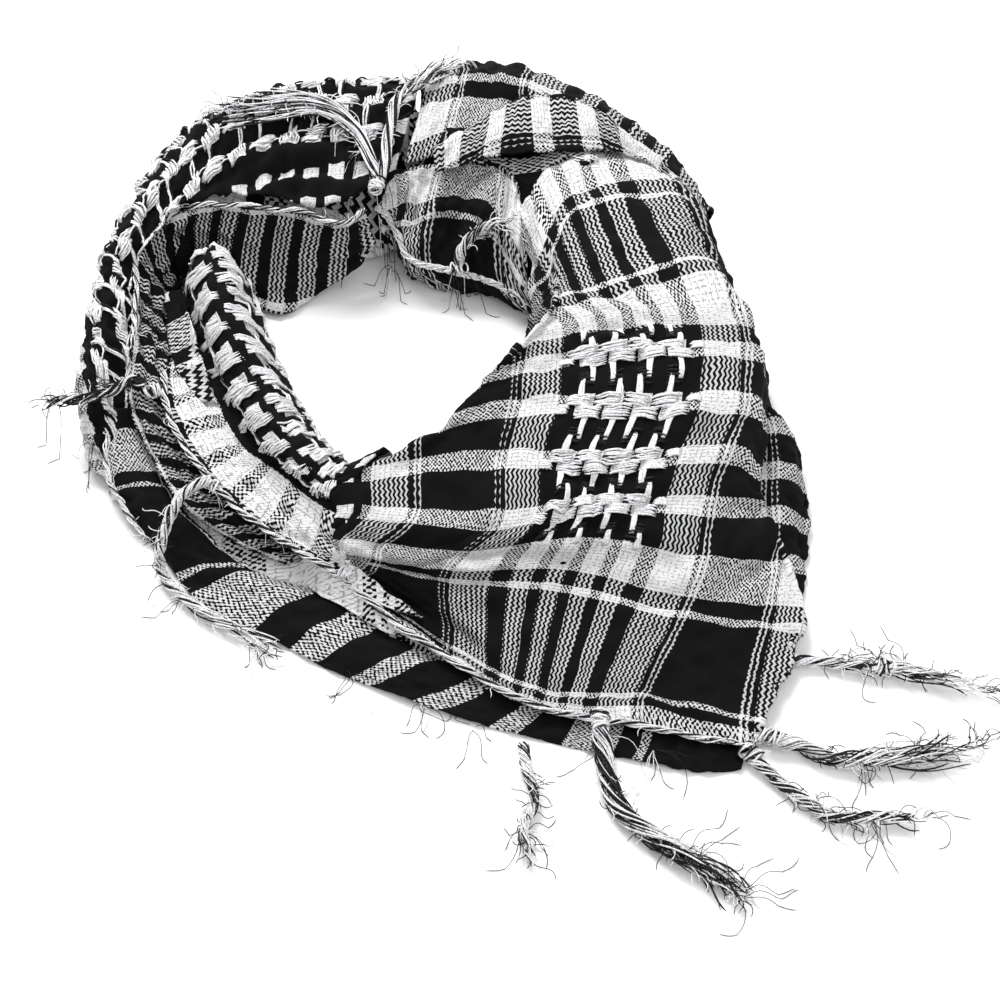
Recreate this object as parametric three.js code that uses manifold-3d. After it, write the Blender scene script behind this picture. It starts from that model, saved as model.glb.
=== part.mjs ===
// Keffiyeh headscarf: a square cotton plaid cloth with knotted tassels, folded to a triangle and laid
// down as a neck ring, with its point spread at the lower right.
// Millimetres, +Z up.  X runs to the right along the ring's front, Y to its back, and Z = 0 is the
// surface that it lies on.  The group's origin is the middle of the base of its bounding box.
import * as THREE from 'three';
import { mergeVertices } from 'three/addons/utils/BufferGeometryUtils.js';
import Module from 'manifold-3d';

const wasm = await Module();
wasm.setup();

// ---------- driving dimensions ----------
const CLOTH = 2.0;            // wall of one stretch of folded cloth
const GAP = 0.3;              // clearance kept between neighbouring pieces
const CORD_RADIUS = 1.6;      // bundle of warp ends along a fringed edge
const KNOT_RADIUS = 3.2;      // knot that gathers the ends of one tassel
const TASSEL_RADIUS = 3.4;    // twisted tassel at its thickest
const TUBE_SIDES = 6;
const CORE_STEPS = 32;        // sections around the ring of hidden folds
const CORE_ACROSS = 4;        // top points across one of those sections
const CORE_CLEAR = 0.8;       // hidden folds stay this far under the cloth above
const CORE_DEFAULT_TOP = 9;   // height of the hidden folds where no sheet passes over them
const FLOOR_CLEAR = 0.5;      // loose tassels lie this far above the base plane

const BLACK_COTTON = new THREE.MeshStandardMaterial({ color: 0x17171a, roughness: 0.92, metalness: 0 });
const WHITE_COTTON = new THREE.MeshStandardMaterial({ color: 0xe9e9ec, roughness: 0.9, metalness: 0 });
const MIXED_YARN = new THREE.MeshStandardMaterial({ color: 0x9a9a9e, roughness: 0.85, metalness: 0 });

// ---------- sections of each stretch of cloth ----------
// A row is one section, and each named column is the point where it crosses that fold line.

// The point of the triangle and the right shoulder.  A row follows one weft thread, from the fringed
// edge up to the back: it falls into the neck at tuck, crosses the panel and falls away at fall.
const BIB = [
  { tuck: [-70, -52, 6], neck: [-64, -53, 10], left: [-26, -85, 7], middle: [14, -111, 5],
    right: [55, -120, 5], side: [95, -129, 5], fall: [98, -130, 4] },
  { tuck: [-69, -50, 6], neck: [-63, -50, 11], left: [-22, -80, 6], middle: [16, -104, 6.5],
    right: [56, -107, 6.5], side: [98, -118, 6.5], fall: [101, -118, 5] },
  { tuck: [-66, -46, 13], neck: [-60, -48, 20], left: [-24, -59, 20], middle: [26, -62, 17],
    right: [73, -72, 12], side: [117, -75, 8], fall: [119, -75, 6.5] },
  { tuck: [-67, -44, 26], neck: [-60, -46, 29], left: [-16, -51, 28], middle: [35, -45, 28],
    right: [82, -49, 20], side: [116, -43, 11], fall: [118, -43, 9.5] },
  { tuck: [-67, -36, 32], neck: [-60, -37, 36], left: [-3, -41, 34], middle: [40, -33, 36],
    right: [86, -28, 28], side: [107, -20, 18], fall: [109, -20, 16] },
  { tuck: [-64, -22, 36], neck: [-57, -22, 41], left: [-1, -14, 42], middle: [43, -16, 42],
    right: [93, -5, 34], side: [106, -7, 25], fall: [108, -6, 21] },
  { tuck: [-30, 13, 4], neck: [-24, -1, 46], left: [4, 9, 47], middle: [52, 10, 47],
    right: [102, 19, 37], side: [110, 18, 29], fall: [112, 19, 24] },
  { tuck: [-18, 31, 4], neck: [-8, 21, 49], left: [6, 28, 50], middle: [55, 38, 51],
    right: [105, 48, 39], side: [112, 50, 30], fall: [117, 50, 6] },
  { tuck: [0, 53, 4], neck: [12, 45, 52], left: [20, 49, 53], middle: [53, 57, 54],
    right: [101, 70, 43], side: [107, 72, 33], fall: [114, 72, 6] },
  { tuck: [8, 69, 6], neck: [22, 64, 52], left: [26, 66, 53], middle: [48, 72, 55],
    right: [87, 94, 48], side: [100, 94, 35], fall: [108, 95, 6] },
  { tuck: [14, 96, 24], neck: [21, 94, 43], left: [24, 106, 46], middle: [36, 127, 49],
    right: [80, 139, 46], side: [94, 126, 34], fall: [102, 126, 6] },
  { tuck: [8, 146, 30], neck: [13, 146, 40], left: [17, 153, 43], middle: [28, 165, 44],
    right: [64, 171, 42], side: [86, 156, 34], fall: [94, 158, 10] },
];

// The rolled left arm, from its rounded top end down to where it opens out into the point.
const LEFT_ROLL = [
  { edge: [-143, 121, 14], band: [-140, 121, 15], gully: [-136, 121, 23], crest: [-129, 121, 32],
    side: [-122, 121, 23], foot: [-120, 121, 8] },
  { edge: [-143, 103, 12], band: [-141, 102, 14], gully: [-139, 101, 26], crest: [-126, 102, 45],
    side: [-113, 104, 26], foot: [-112, 106, 2] },
  { edge: [-141, 77, 16], band: [-138, 77, 17], gully: [-134, 75, 26], crest: [-120, 76, 48],
    side: [-106, 82, 26], foot: [-105, 84, 2] },
  { edge: [-144, 50, 23], band: [-135, 51, 21], gully: [-127, 52, 27], crest: [-112, 50, 48],
    side: [-98, 58, 26], foot: [-97, 62, 2] },
  { edge: [-140, 24, 25], band: [-127, 28, 24], gully: [-117, 28, 28], crest: [-101, 26, 46],
    side: [-88, 35, 26], foot: [-87, 40, 2] },
  { edge: [-126, -2, 24], band: [-114, 2, 24], gully: [-105, 6, 28], crest: [-91, 3, 45],
    side: [-79, 16, 26], foot: [-77, 22, 2] },
  { edge: [-106, -25, 21], band: [-98, -16, 23], gully: [-91, -8, 29], crest: [-80, -14, 43],
    side: [-70, 2, 28], foot: [-67, 14, 2] },
  { edge: [-84, -41, 18], band: [-79, -34, 24], gully: [-75, -26, 33], crest: [-70, -24, 41],
    side: [-62, -8, 32], foot: [-57, 12, 2] },
  { edge: [-64, -52, 14], band: [-61, -46, 28], gully: [-61, -37, 35], crest: [-58, -23, 41],
    side: [-47, -8, 42], foot: [-42, 14, 2] },
];

// The border band that lines the far side of the neck and turns down the outside of the rolled arm.
const INNER_BAND = [
  { outer: [-60, 132, 42], middle: [-58, 131, 33], inner: [-56, 130, 24] },
  { outer: [-72, 127, 41], middle: [-71, 124, 28], inner: [-68, 122, 15] },
  { outer: [-89, 132, 42], middle: [-88, 126, 22], inner: [-85, 118, 3] },
  { outer: [-111, 134, 44], middle: [-106, 126, 22], inner: [-98, 108, 2] },
  { outer: [-131, 134, 44], middle: [-124, 129, 25], inner: [-114, 114, 4] },
  { outer: [-149, 127, 42], middle: [-140, 126, 26], inner: [-132, 125, 10] },
  { outer: [-160, 113, 38], middle: [-153, 112, 26], inner: [-146, 114, 14] },
  { outer: [-160, 90, 34], middle: [-154, 91, 25], inner: [-147, 93, 17] },
  { outer: [-158, 66, 31], middle: [-151, 66, 25], inner: [-144, 66, 18] },
  { outer: [-158, 45, 27], middle: [-150, 42, 25], inner: [-138, 40, 18] },
  { outer: [-157, 32, 22], middle: [-148, 26, 22], inner: [-134, 22, 18] },
  { outer: [-147, 10, 17], middle: [-138, 10, 19], inner: [-124, 6, 17] },
  { outer: [-132, -14, 14], middle: [-124, -12, 16], inner: [-112, -10, 16] },
  { outer: [-110, -31, 11], middle: [-104, -28, 14], inner: [-96, -23, 14] },
  { outer: [-88, -42, 9], middle: [-82, -40, 11], inner: [-76, -37, 12] },
];

// The outermost roll at the left and the top left, from its thin lower end to the back.
const OUTER_ROLL = [
  { foot: [-152, -12, 1.5], bulge: [-156, -10, 3], crest: [-152, -14, 5], inner: [-146, -14, 4] },
  { foot: [-168, 20, 1.5], bulge: [-175, 20, 8], crest: [-168, 14, 13], inner: [-160, 12, 8] },
  { foot: [-172, 45, 1.5], bulge: [-180, 42, 17], crest: [-173, 36, 26], inner: [-161, 34, 15] },
  { foot: [-172, 68, 1.5], bulge: [-180, 66, 22], crest: [-173, 62, 34], inner: [-161, 56, 25] },
  { foot: [-171, 95, 1.5], bulge: [-178, 94, 26], crest: [-171, 88, 40], inner: [-161, 80, 31] },
  { foot: [-168, 118, 1.5], bulge: [-174, 118, 30], crest: [-168, 106, 45], inner: [-162, 98, 36] },
  { foot: [-160, 145, 1.5], bulge: [-166, 145, 32], crest: [-158, 132, 49], inner: [-154, 119, 42] },
  { foot: [-150, 170, 1.5], bulge: [-157, 172, 33], crest: [-146, 156, 52], inner: [-141, 132, 46] },
  { foot: [-135, 192, 1.5], bulge: [-140, 196, 34], crest: [-128, 178, 54], inner: [-122, 138, 47] },
  { foot: [-112, 208, 1.5], bulge: [-114, 214, 34], crest: [-104, 192, 55], inner: [-102, 138, 47] },
  { foot: [-84, 216, 1.5], bulge: [-84, 222, 34], crest: [-80, 198, 54], inner: [-82, 132, 46] },
  { foot: [-58, 218, 1.5], bulge: [-57, 224, 34], crest: [-56, 202, 52], inner: [-62, 140, 46] },
  { foot: [-42, 222, 1.5], bulge: [-40, 230, 34], crest: [-38, 208, 50], inner: [-48, 152, 46] },
];

// The stretch that wraps the back of the ring and comes down behind the right shoulder.
const BACK_WRAP = [
  { foot: [-40, 223, 1.5], bulge: [-37, 231, 34], crest: [-34, 211, 50], inner: [-43, 160, 46] },
  { foot: [-22, 229, 1.5], bulge: [-20, 237, 34], crest: [-16, 216, 51], inner: [-26, 168, 45] },
  { foot: [4, 230, 1.5], bulge: [6, 238, 34], crest: [4, 214, 52], inner: [-2, 174, 44] },
  { foot: [24, 222, 1.5], bulge: [26, 229, 33], crest: [20, 207, 52], inner: [14, 176, 43] },
  { foot: [42, 213, 1.5], bulge: [46, 217, 31], crest: [38, 198, 49], inner: [34, 174, 42] },
  { foot: [58, 200, 1.5], bulge: [63, 204, 28], crest: [56, 186, 44], inner: [52, 166, 38] },
  { foot: [76, 182, 1.5], bulge: [82, 184, 24], crest: [74, 170, 36], inner: [64, 154, 33] },
  { foot: [92, 156, 1.5], bulge: [98, 156, 19], crest: [92, 148, 26], inner: [80, 140, 24] },
];

// The crumpled end that drops from the back of the ring to the neck.
const CROSSING_END = [
  { top: [-50, 157, 44], fold: [-52, 146, 40], lip: [-55, 141, 36], foot: [-54, 140, 24] },
  { top: [-34, 162, 43], fold: [-42, 150, 38], lip: [-47, 138, 28], foot: [-46, 139, 14] },
  { top: [-22, 164, 43], fold: [-34, 142, 35], lip: [-43, 127, 22], foot: [-41, 130, 5] },
  { top: [-10, 166, 42], fold: [-22, 144, 35], lip: [-32, 122, 18], foot: [-30, 126, 2] },
  { top: [0, 164, 41], fold: [-10, 142, 33], lip: [-19, 120, 16], foot: [-18, 123, 2] },
  { top: [6, 158, 39], fold: [-1, 136, 31], lip: [-8, 118, 14], foot: [-7, 121, 2] },
  { top: [10, 150, 34], fold: [6, 130, 28], lip: [3, 112, 13], foot: [4, 115, 2] },
  { top: [12, 140, 28], fold: [12, 122, 24], lip: [14, 104, 12], foot: [15, 107, 2] },
];

// The narrow turned-back border that lies across the back of the shoulder.
const RUFFLE = [
  { back: [-30, 167, 50], ridge: [-30, 160, 51], front: [-29, 152, 47] },
  { back: [-2, 186, 54], ridge: [-4, 174, 54], front: [-6, 161, 49] },
  { back: [12, 195, 56], ridge: [13, 179, 55], front: [14, 164, 49] },
  { back: [33, 195, 55], ridge: [34, 180, 53], front: [36, 166, 48] },
  { back: [49, 184, 53], ridge: [50, 175, 52], front: [52, 166, 48] },
  { back: [68, 168, 47], ridge: [67, 165, 47], front: [66, 161, 46] },
  { back: [88, 150, 38], ridge: [86, 150, 38], front: [84, 149, 37] },
];

// The lower layer that shows beside the point, along the right.
const RIGHT_UNDER = [
  { inner: [102, 36, 15], ridge: [112, 36, 20], lip: [119, 36, 13], foot: [118, 36, 2] },
  { inner: [102, 24, 15], ridge: [117, 25, 21], lip: [124, 24, 13], foot: [122, 24, 2] },
  { inner: [101, 8, 14], ridge: [118, 8, 17], lip: [128, 8, 9], foot: [126, 8, 1.5] },
  { inner: [99, -10, 11], ridge: [117, -10, 13], lip: [129, -12, 6], foot: [127, -12, 1.5] },
  { inner: [102, -40, 6], ridge: [117, -40, 6], lip: [125, -40, 3], foot: [124, -40, 1.5] },
  { inner: [104, -70, 4], ridge: [113, -70, 4], lip: [120, -70, 2.4], foot: [119, -70, 1.5] },
  { inner: [102, -92, 3], ridge: [109, -92, 3], lip: [115, -92, 2], foot: [114, -92, 1.5] },
];

// The lower layer that shows outside the rolled arm and in front of the point.
const UNDER_LAYER = [
  { inner: [-150, 36, 14], ridge: [-160, 36, 18], lip: [-167, 33, 18] },
  { inner: [-146, 10, 11], ridge: [-156, 8, 14], lip: [-165, 6, 12] },
  { inner: [-130, -14, 8], ridge: [-146, -14, 11], lip: [-156, -11, 6] },
  { inner: [-112, -34, 6], ridge: [-128, -34, 8], lip: [-140, -32, 2] },
  { inner: [-92, -46, 5], ridge: [-106, -52, 7], lip: [-119, -60, 2] },
  { inner: [-66, -58, 4], ridge: [-78, -66, 6], lip: [-90, -76, 2] },
  { inner: [-44, -74, 3.5], ridge: [-56, -82, 5], lip: [-69, -89, 2] },
  { inner: [-20, -88, 2.5], ridge: [-33, -96, 4], lip: [-46, -100, 2] },
  { inner: [6, -100, 2], ridge: [-6, -108, 2.6], lip: [-16, -113, 2] },
  { inner: [30, -108, 1.5], ridge: [24, -118, 2], lip: [20, -124, 1.5] },
  { inner: [60, -112, 1.5], ridge: [58, -124, 2], lip: [54, -133, 1.5] },
  { inner: [84, -114, 1.5], ridge: [80, -127, 2], lip: [76, -138, 1.5] },
  { inner: [98, -118, 1.5], ridge: [96, -127, 2], lip: [93, -137, 1.5] },
];

// Plan of the hidden folds: a point on the neck side and one on the outside of each section.
const HIDDEN_FOLDS = [
  { neck: [-107, 74], outside: [-168, 66] },
  { neck: [-98, 52], outside: [-166, 40] },
  { neck: [-87, 30], outside: [-152, 2] },
  { neck: [-72, 6], outside: [-122, -32] },
  { neck: [-50, -6], outside: [-80, -60] },
  { neck: [-28, -4], outside: [-34, -86] },
  { neck: [-6, 2], outside: [20, -96] },
  { neck: [8, 14], outside: [84, -84] },
  { neck: [12, 32], outside: [103, -30] },
  { neck: [20, 50], outside: [106, 16] },
  { neck: [28, 66], outside: [108, 66] },
  { neck: [29, 92], outside: [98, 110] },
  { neck: [22, 118], outside: [84, 150] },
  { neck: [4, 132], outside: [58, 188] },
  { neck: [-18, 136], outside: [22, 214] },
  { neck: [-44, 148], outside: [-24, 222] },
  { neck: [-64, 140], outside: [-60, 212] },
  { neck: [-84, 136], outside: [-98, 206] },
  { neck: [-108, 132], outside: [-132, 186] },
  { neck: [-128, 130], outside: [-154, 156] },
  { neck: [-128, 112], outside: [-166, 118] },
  { neck: [-116, 94], outside: [-170, 92] },
];

// ---------- surfaces from sections ----------
const point = ([x, y, z]) => new THREE.Vector3(x, y, z);

function splinePoints(points, steps) {
  const curve = new THREE.CatmullRomCurve3(points, false, 'centripetal');
  return Array.from({ length: steps + 1 }, (_, i) => curve.getPoint(i / steps));
}

// A grid of points on the surface through a table's sections.
function surfaceGrid(table, rows, columns) {
  const names = Object.keys(table[0]);
  const sections = table.map((section) => splinePoints(names.map((name) => point(section[name])), columns));
  const lines = Array.from({ length: columns + 1 }, (_, j) => splinePoints(sections.map((s) => s[j]), rows));
  return Array.from({ length: rows + 1 }, (_, i) => lines.map((line) => line[i]));
}

function gridNormals(grid) {
  const rows = grid.length - 1;
  const columns = grid[0].length - 1;
  return grid.map((line, i) => line.map((_, j) => {
    const alongRow = grid[i][Math.min(j + 1, columns)].clone().sub(grid[i][Math.max(j - 1, 0)]);
    const alongColumn = grid[Math.min(i + 1, rows)][j].clone().sub(grid[Math.max(i - 1, 0)][j]);
    return alongRow.cross(alongColumn).normalize();
  }));
}

// Points of the grid with its outer rim pushed out sideways, for the clearance round a cut.
function widenedGrid(grid, margin) {
  const rows = grid.length - 1;
  const columns = grid[0].length - 1;
  const inside = (k, last) => (k === 0 ? 1 : k === last ? last - 1 : k);
  return grid.map((line, i) => line.map((p, j) => {
    const from = grid[inside(i, rows)][inside(j, columns)];
    const push = p.clone().sub(from);
    return push.length() > 0 ? p.clone().add(push.setLength(margin)) : p.clone();
  }));
}

// One closed wall round the grid: both faces and the rim between them.
function wallGeometry(grid, thickness, margin = 0) {
  const base = margin > 0 ? widenedGrid(grid, margin) : grid;
  const normals = gridNormals(grid);
  const rows = base.length;
  const columns = base[0].length;
  const reach = thickness / 2 + margin;
  const lowest = margin > 0 ? -margin : 0;
  const positions = [];
  for (const side of [1, -1]) {
    base.forEach((line, i) => line.forEach((p, j) => {
      const q = p.clone().addScaledVector(normals[i][j], side * reach);
      positions.push(q.x, q.y, Math.max(q.z, lowest));
    }));
  }
  const faces = [];
  const quad = (a, b, c, d) => faces.push(a, b, c, a, c, d);
  const top = (i, j) => i * columns + j;
  const bottom = (i, j) => rows * columns + i * columns + j;
  for (let i = 0; i < rows - 1; i += 1) {
    for (let j = 0; j < columns - 1; j += 1) {
      quad(top(i, j), top(i, j + 1), top(i + 1, j + 1), top(i + 1, j));
      quad(bottom(i, j), bottom(i + 1, j), bottom(i + 1, j + 1), bottom(i, j + 1));
    }
  }
  const rim = [];
  for (let j = 0; j < columns; j += 1) rim.push([0, j]);
  for (let i = 1; i < rows; i += 1) rim.push([i, columns - 1]);
  for (let j = columns - 2; j >= 0; j -= 1) rim.push([rows - 1, j]);
  for (let i = rows - 2; i > 0; i -= 1) rim.push([i, 0]);
  rim.forEach((a, k) => {
    const b = rim[(k + 1) % rim.length];
    quad(top(...b), top(...a), bottom(...a), bottom(...b));
  });
  return closedGeometry(positions, faces);
}

// A closed tube along the points, its radius given at each of them, with flat ends.
function strandGeometry(points, radii, steps, margin = 0) {
  const curve = new THREE.CatmullRomCurve3(points, false, 'centripetal');
  const positions = [];
  const faces = [];
  for (let i = 0; i <= steps; i += 1) {
    const t = i / steps;
    const centre = curve.getPoint(t);
    const tangent = curve.getTangent(t);
    const across = new THREE.Vector3(0, 0, 1).cross(tangent).normalize();
    const upward = tangent.clone().cross(across).normalize();
    const place = t * (radii.length - 1);
    const k = Math.min(Math.floor(place), radii.length - 2);
    const radius = THREE.MathUtils.lerp(radii[k], radii[k + 1], place - k) + margin;
    for (let s = 0; s < TUBE_SIDES; s += 1) {
      const angle = (s / TUBE_SIDES) * 2 * Math.PI;
      const q = centre.clone()
        .addScaledVector(across, radius * Math.cos(angle))
        .addScaledVector(upward, radius * Math.sin(angle));
      positions.push(q.x, q.y, Math.max(q.z, FLOOR_CLEAR - margin));
    }
  }
  const vertex = (i, s) => i * TUBE_SIDES + (s % TUBE_SIDES);
  for (let i = 0; i < steps; i += 1) {
    for (let s = 0; s < TUBE_SIDES; s += 1) {
      faces.push(vertex(i, s), vertex(i, s + 1), vertex(i + 1, s + 1));
      faces.push(vertex(i, s), vertex(i + 1, s + 1), vertex(i + 1, s));
    }
  }
  for (let s = 1; s < TUBE_SIDES - 1; s += 1) {
    faces.push(vertex(0, 0), vertex(0, s + 1), vertex(0, s));
    faces.push(vertex(steps, 0), vertex(steps, s), vertex(steps, s + 1));
  }
  return closedGeometry(positions, faces);
}

function closedGeometry(positions, faces) {
  const geometry = new THREE.BufferGeometry();
  geometry.setAttribute('position', new THREE.BufferAttribute(new Float32Array(positions), 3));
  geometry.setIndex(faces);
  return signedVolume(geometry) < 0 ? turnedInsideOut(geometry) : geometry;
}

function signedVolume(geometry) {
  const { array } = geometry.attributes.position;
  const at = (k) => new THREE.Vector3().fromArray(array, 3 * k);
  const index = geometry.index.array;
  let volume = 0;
  for (let k = 0; k < index.length; k += 3) {
    volume += at(index[k]).dot(at(index[k + 1]).cross(at(index[k + 2]))) / 6;
  }
  return volume;
}

function turnedInsideOut(geometry) {
  const index = geometry.index.array;
  for (let k = 0; k < index.length; k += 3) [index[k + 1], index[k + 2]] = [index[k + 2], index[k + 1]];
  return geometry;
}

// ---------- solids and cuts ----------
function solidOf(geometry) {
  const merged = mergeVertices(geometry, 1e-4);
  return new wasm.Manifold(new wasm.Mesh({
    numProp: 3,
    vertProperties: new Float32Array(merged.attributes.position.array),
    triVerts: new Uint32Array(merged.index.array),
  }));
}

function geometryOf(solid) {
  const mesh = solid.getMesh();
  const geometry = new THREE.BufferGeometry();
  geometry.setAttribute('position', new THREE.BufferAttribute(new Float32Array(mesh.vertProperties), 3));
  geometry.setIndex(Array.from(mesh.triVerts));
  geometry.computeVertexNormals();
  return geometry;
}

const largestPiece = (solid) => solid.decompose().sort((a, b) => b.volume() - a.volume())[0];

// ---------- the hidden folds ----------
// Height of the lowest sheet above a plan point, or Infinity where none passes over it.
function lowestSheetAbove(x, y, grids) {
  let lowest = Infinity;
  const corner = (p, q, r) => (q.x - p.x) * (r.y - p.y) - (q.y - p.y) * (r.x - p.x);
  const spot = new THREE.Vector3(x, y, 0);
  const test = (a, b, c) => {
    const whole = corner(a, b, c);
    const wa = corner(spot, b, c) / whole;
    const wb = corner(a, spot, c) / whole;
    const wc = 1 - wa - wb;
    if (wa >= 0 && wb >= 0 && wc >= 0) lowest = Math.min(lowest, wa * a.z + wb * b.z + wc * c.z);
  };
  for (const grid of grids) {
    for (let i = 0; i < grid.length - 1; i += 1) {
      for (let j = 0; j < grid[0].length - 1; j += 1) {
        test(grid[i][j], grid[i][j + 1], grid[i + 1][j + 1]);
        test(grid[i][j], grid[i + 1][j + 1], grid[i + 1][j]);
      }
    }
  }
  return lowest;
}

// One rounded ring with a flat base that fills the space under the sheets.
function hiddenFoldsGeometry(grids) {
  const loop = (name) => new THREE.CatmullRomCurve3(
    HIDDEN_FOLDS.map((section) => point([...section[name], 0])), true, 'centripetal');
  const neck = loop('neck');
  const outside = loop('outside');
  const positions = [];
  const ring = CORE_ACROSS + 2;
  for (let i = 0; i < CORE_STEPS; i += 1) {
    const a = neck.getPoint(i / CORE_STEPS);
    const b = outside.getPoint(i / CORE_STEPS);
    positions.push(a.x, a.y, 0);
    for (let j = 0; j < CORE_ACROSS; j += 1) {
      const p = a.clone().lerp(b, j / (CORE_ACROSS - 1));
      const sheet = lowestSheetAbove(p.x, p.y, grids);
      const top = Number.isFinite(sheet) ? sheet - CLOTH / 2 - CORE_CLEAR : CORE_DEFAULT_TOP;
      const rounding = j === 0 || j === CORE_ACROSS - 1 ? 0.4 : 1;
      positions.push(p.x, p.y, Math.max(top * rounding, 0.4));
    }
    positions.push(b.x, b.y, 0);
  }
  const faces = [];
  for (let i = 0; i < CORE_STEPS; i += 1) {
    const next = (i + 1) % CORE_STEPS;
    for (let j = 0; j < ring; j += 1) {
      const k = (j + 1) % ring;
      faces.push(i * ring + j, i * ring + k, next * ring + k);
      faces.push(i * ring + j, next * ring + k, next * ring + j);
    }
  }
  return closedGeometry(positions, faces);
}

// ---------- cords, knots and tassels ----------
const onTop = (p, height = CORD_RADIUS) => point(p).add(new THREE.Vector3(0, 0, CLOTH / 2 + height + GAP));
const rail = (table, name, from = 0, to = table.length) => table.slice(from, to).map((s) => onTop(s[name]));

function cordSolid(points, knots, margin = 0) {
  const steps = Math.max(8, Math.round(points.length * 1.7));
  let solid = solidOf(strandGeometry(points, [CORD_RADIUS, CORD_RADIUS], steps, margin));
  for (const knot of knots) {
    const ball = new THREE.SphereGeometry(KNOT_RADIUS + margin, 7, 5);
    ball.deleteAttribute('normal');
    ball.deleteAttribute('uv');
    ball.translate(knot.x, knot.y, knot.z);
    solid = solid.add(solidOf(ball));
  }
  return solid;
}

const bibEdge = ['left', 'middle', 'right', 'side'].map((name) => onTop(BIB[0][name]));
const CORDS = {
  edge_cord_front: {
    points: [...rail(LEFT_ROLL, 'edge', 3), ...bibEdge],
    knots: [onTop([-119, -12, 24]), onTop([-64, -52, 14]), onTop([39, -117, 6])],
  },
  edge_cord_left: { points: rail(INNER_BAND, 'outer', 5, 9), knots: [] },
  edge_cord_inner: { points: rail(INNER_BAND, 'outer', 0, 5), knots: [] },
  edge_cord_neck: { points: rail(CROSSING_END, 'lip'), knots: [onTop([-19, 120, 16])] },
  edge_cord_outer: { points: rail(UNDER_LAYER, 'lip', 0, 3), knots: [] },
};

// A tassel is its centre line and the radius at its root, its middle and its frayed end.
const TASSELS = {
  tassel_left: { line: [[-156, 39, 31], [-165, 35, 30], [-177, 31, 30], [-188, 33, 26], [-197, 34, 22]],
    radii: [2.4, 2.8, 2] },
  tassel_lower_left: { line: [[-124, -14, 27], [-131, -17, 23], [-136, -25, 18], [-140, -37, 9],
    [-137, -46, 4], [-128, -56, 4], [-114, -67, 4], [-100, -75, 4], [-88, -83, 4]],
    radii: [2.2, 2.6, 2] },
  tassel_front_left: { line: [[9, -129, 4], [10, -137, 4], [13, -151, 4], [9, -166, 4], [12, -181, 3.5]],
    radii: [2.4, TASSEL_RADIUS, 3] },
  tassel_front: { line: [[39, -131, 4.5], [41, -142, 4.5], [45, -156, 4.5], [55, -167, 4.5],
    [67, -176, 4.5], [81, -186, 4], [89, -196, 3.5]], radii: [3, 5, 4] },
  tassel_tip_low: { line: [[99, -138, 4], [106, -143, 4], [115, -152, 4], [127, -160, 4], [147, -161, 4],
    [162, -161, 3.5]], radii: [2.6, TASSEL_RADIUS, 2.6] },
  tassel_tip_high: { line: [[108, -126, 4.5], [116, -128, 4.5], [128, -134, 4.5], [144, -134, 4.5],
    [164, -132, 4.5], [184, -127, 4]], radii: [2.4, 4.4, 3.6] },
  tassel_right: { line: [[120, -87, 4], [134, -88, 4], [147, -91, 4], [161, -93, 4.5], [180, -98, 4.5],
    [194, -103, 4]], radii: [2, 3.4, 3.6] },
  fringe_top: { line: [[-57, 152, 52], [-64, 168, 56], [-76, 180, 59], [-90, 184, 60], [-108, 182, 60],
    [-128, 182, 59]], radii: [2.4, 4.2, 3.4] },
  tassel_top: { line: [[-52, 152, 52], [-50, 170, 56], [-47, 190, 58], [-40, 200, 57], [-30, 212, 56],
    [-17, 222, 54]], radii: [2.4, 3.2, 2.6] },
  tassel_neck: { line: [[-17, 123, 26], [-14, 127, 30], [-8, 128, 36], [1, 128, 40]],
    radii: [2.2, 2.8, 2.4] },
};

// ---------- assembly, each piece cut clear of the ones listed before it ----------
const SHEETS = {
  bib: { table: BIB, rows: 18, columns: 12, material: BLACK_COTTON },
  left_roll: { table: LEFT_ROLL, rows: 12, columns: 10, material: WHITE_COTTON },
  ruffle: { table: RUFFLE, rows: 12, columns: 3, material: WHITE_COTTON },
  inner_band: { table: INNER_BAND, rows: 20, columns: 3, material: BLACK_COTTON },
  crossing_end: { table: CROSSING_END, rows: 14, columns: 6, material: BLACK_COTTON },
  outer_roll: { table: OUTER_ROLL, rows: 20, columns: 6, material: WHITE_COTTON },
  back_wrap: { table: BACK_WRAP, rows: 14, columns: 7, material: BLACK_COTTON },
  right_under: { table: RIGHT_UNDER, rows: 12, columns: 5, material: WHITE_COTTON },
  under_layer: { table: UNDER_LAYER, rows: 18, columns: 3, material: BLACK_COTTON },
};

const pieces = [];
const grids = [];
for (const [name, sheet] of Object.entries(SHEETS)) {
  const grid = surfaceGrid(sheet.table, sheet.rows, sheet.columns);
  grids.push(grid);
  pieces.push({
    name,
    material: sheet.material,
    solid: solidOf(wallGeometry(grid, CLOTH)),
    clearance: solidOf(wallGeometry(grid, CLOTH, GAP)),
  });
}
const folds = solidOf(hiddenFoldsGeometry(grids));
pieces.push({ name: 'hidden_folds', material: BLACK_COTTON, solid: folds, clearance: folds });
for (const [name, cord] of Object.entries(CORDS)) {
  pieces.push({
    name,
    material: MIXED_YARN,
    solid: cordSolid(cord.points, cord.knots),
    clearance: cordSolid(cord.points, cord.knots, GAP),
  });
}
for (const [name, tassel] of Object.entries(TASSELS)) {
  const points = tassel.line.map(point);
  const steps = Math.max(6, Math.round(points.length * 1.8));
  pieces.push({
    name,
    material: MIXED_YARN,
    solid: solidOf(strandGeometry(points, tassel.radii, steps)),
    clearance: solidOf(strandGeometry(points, tassel.radii, steps, GAP)),
  });
}

const scarf = new THREE.Group();
pieces.forEach((piece, k) => {
  let solid = piece.solid;
  for (const earlier of pieces.slice(0, k)) {
    if (solid.intersect(earlier.clearance).volume() > 0) solid = solid.subtract(earlier.clearance);
  }
  const mesh = new THREE.Mesh(geometryOf(largestPiece(solid)), piece.material);
  mesh.name = piece.name;
  scarf.add(mesh);
});

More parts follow.
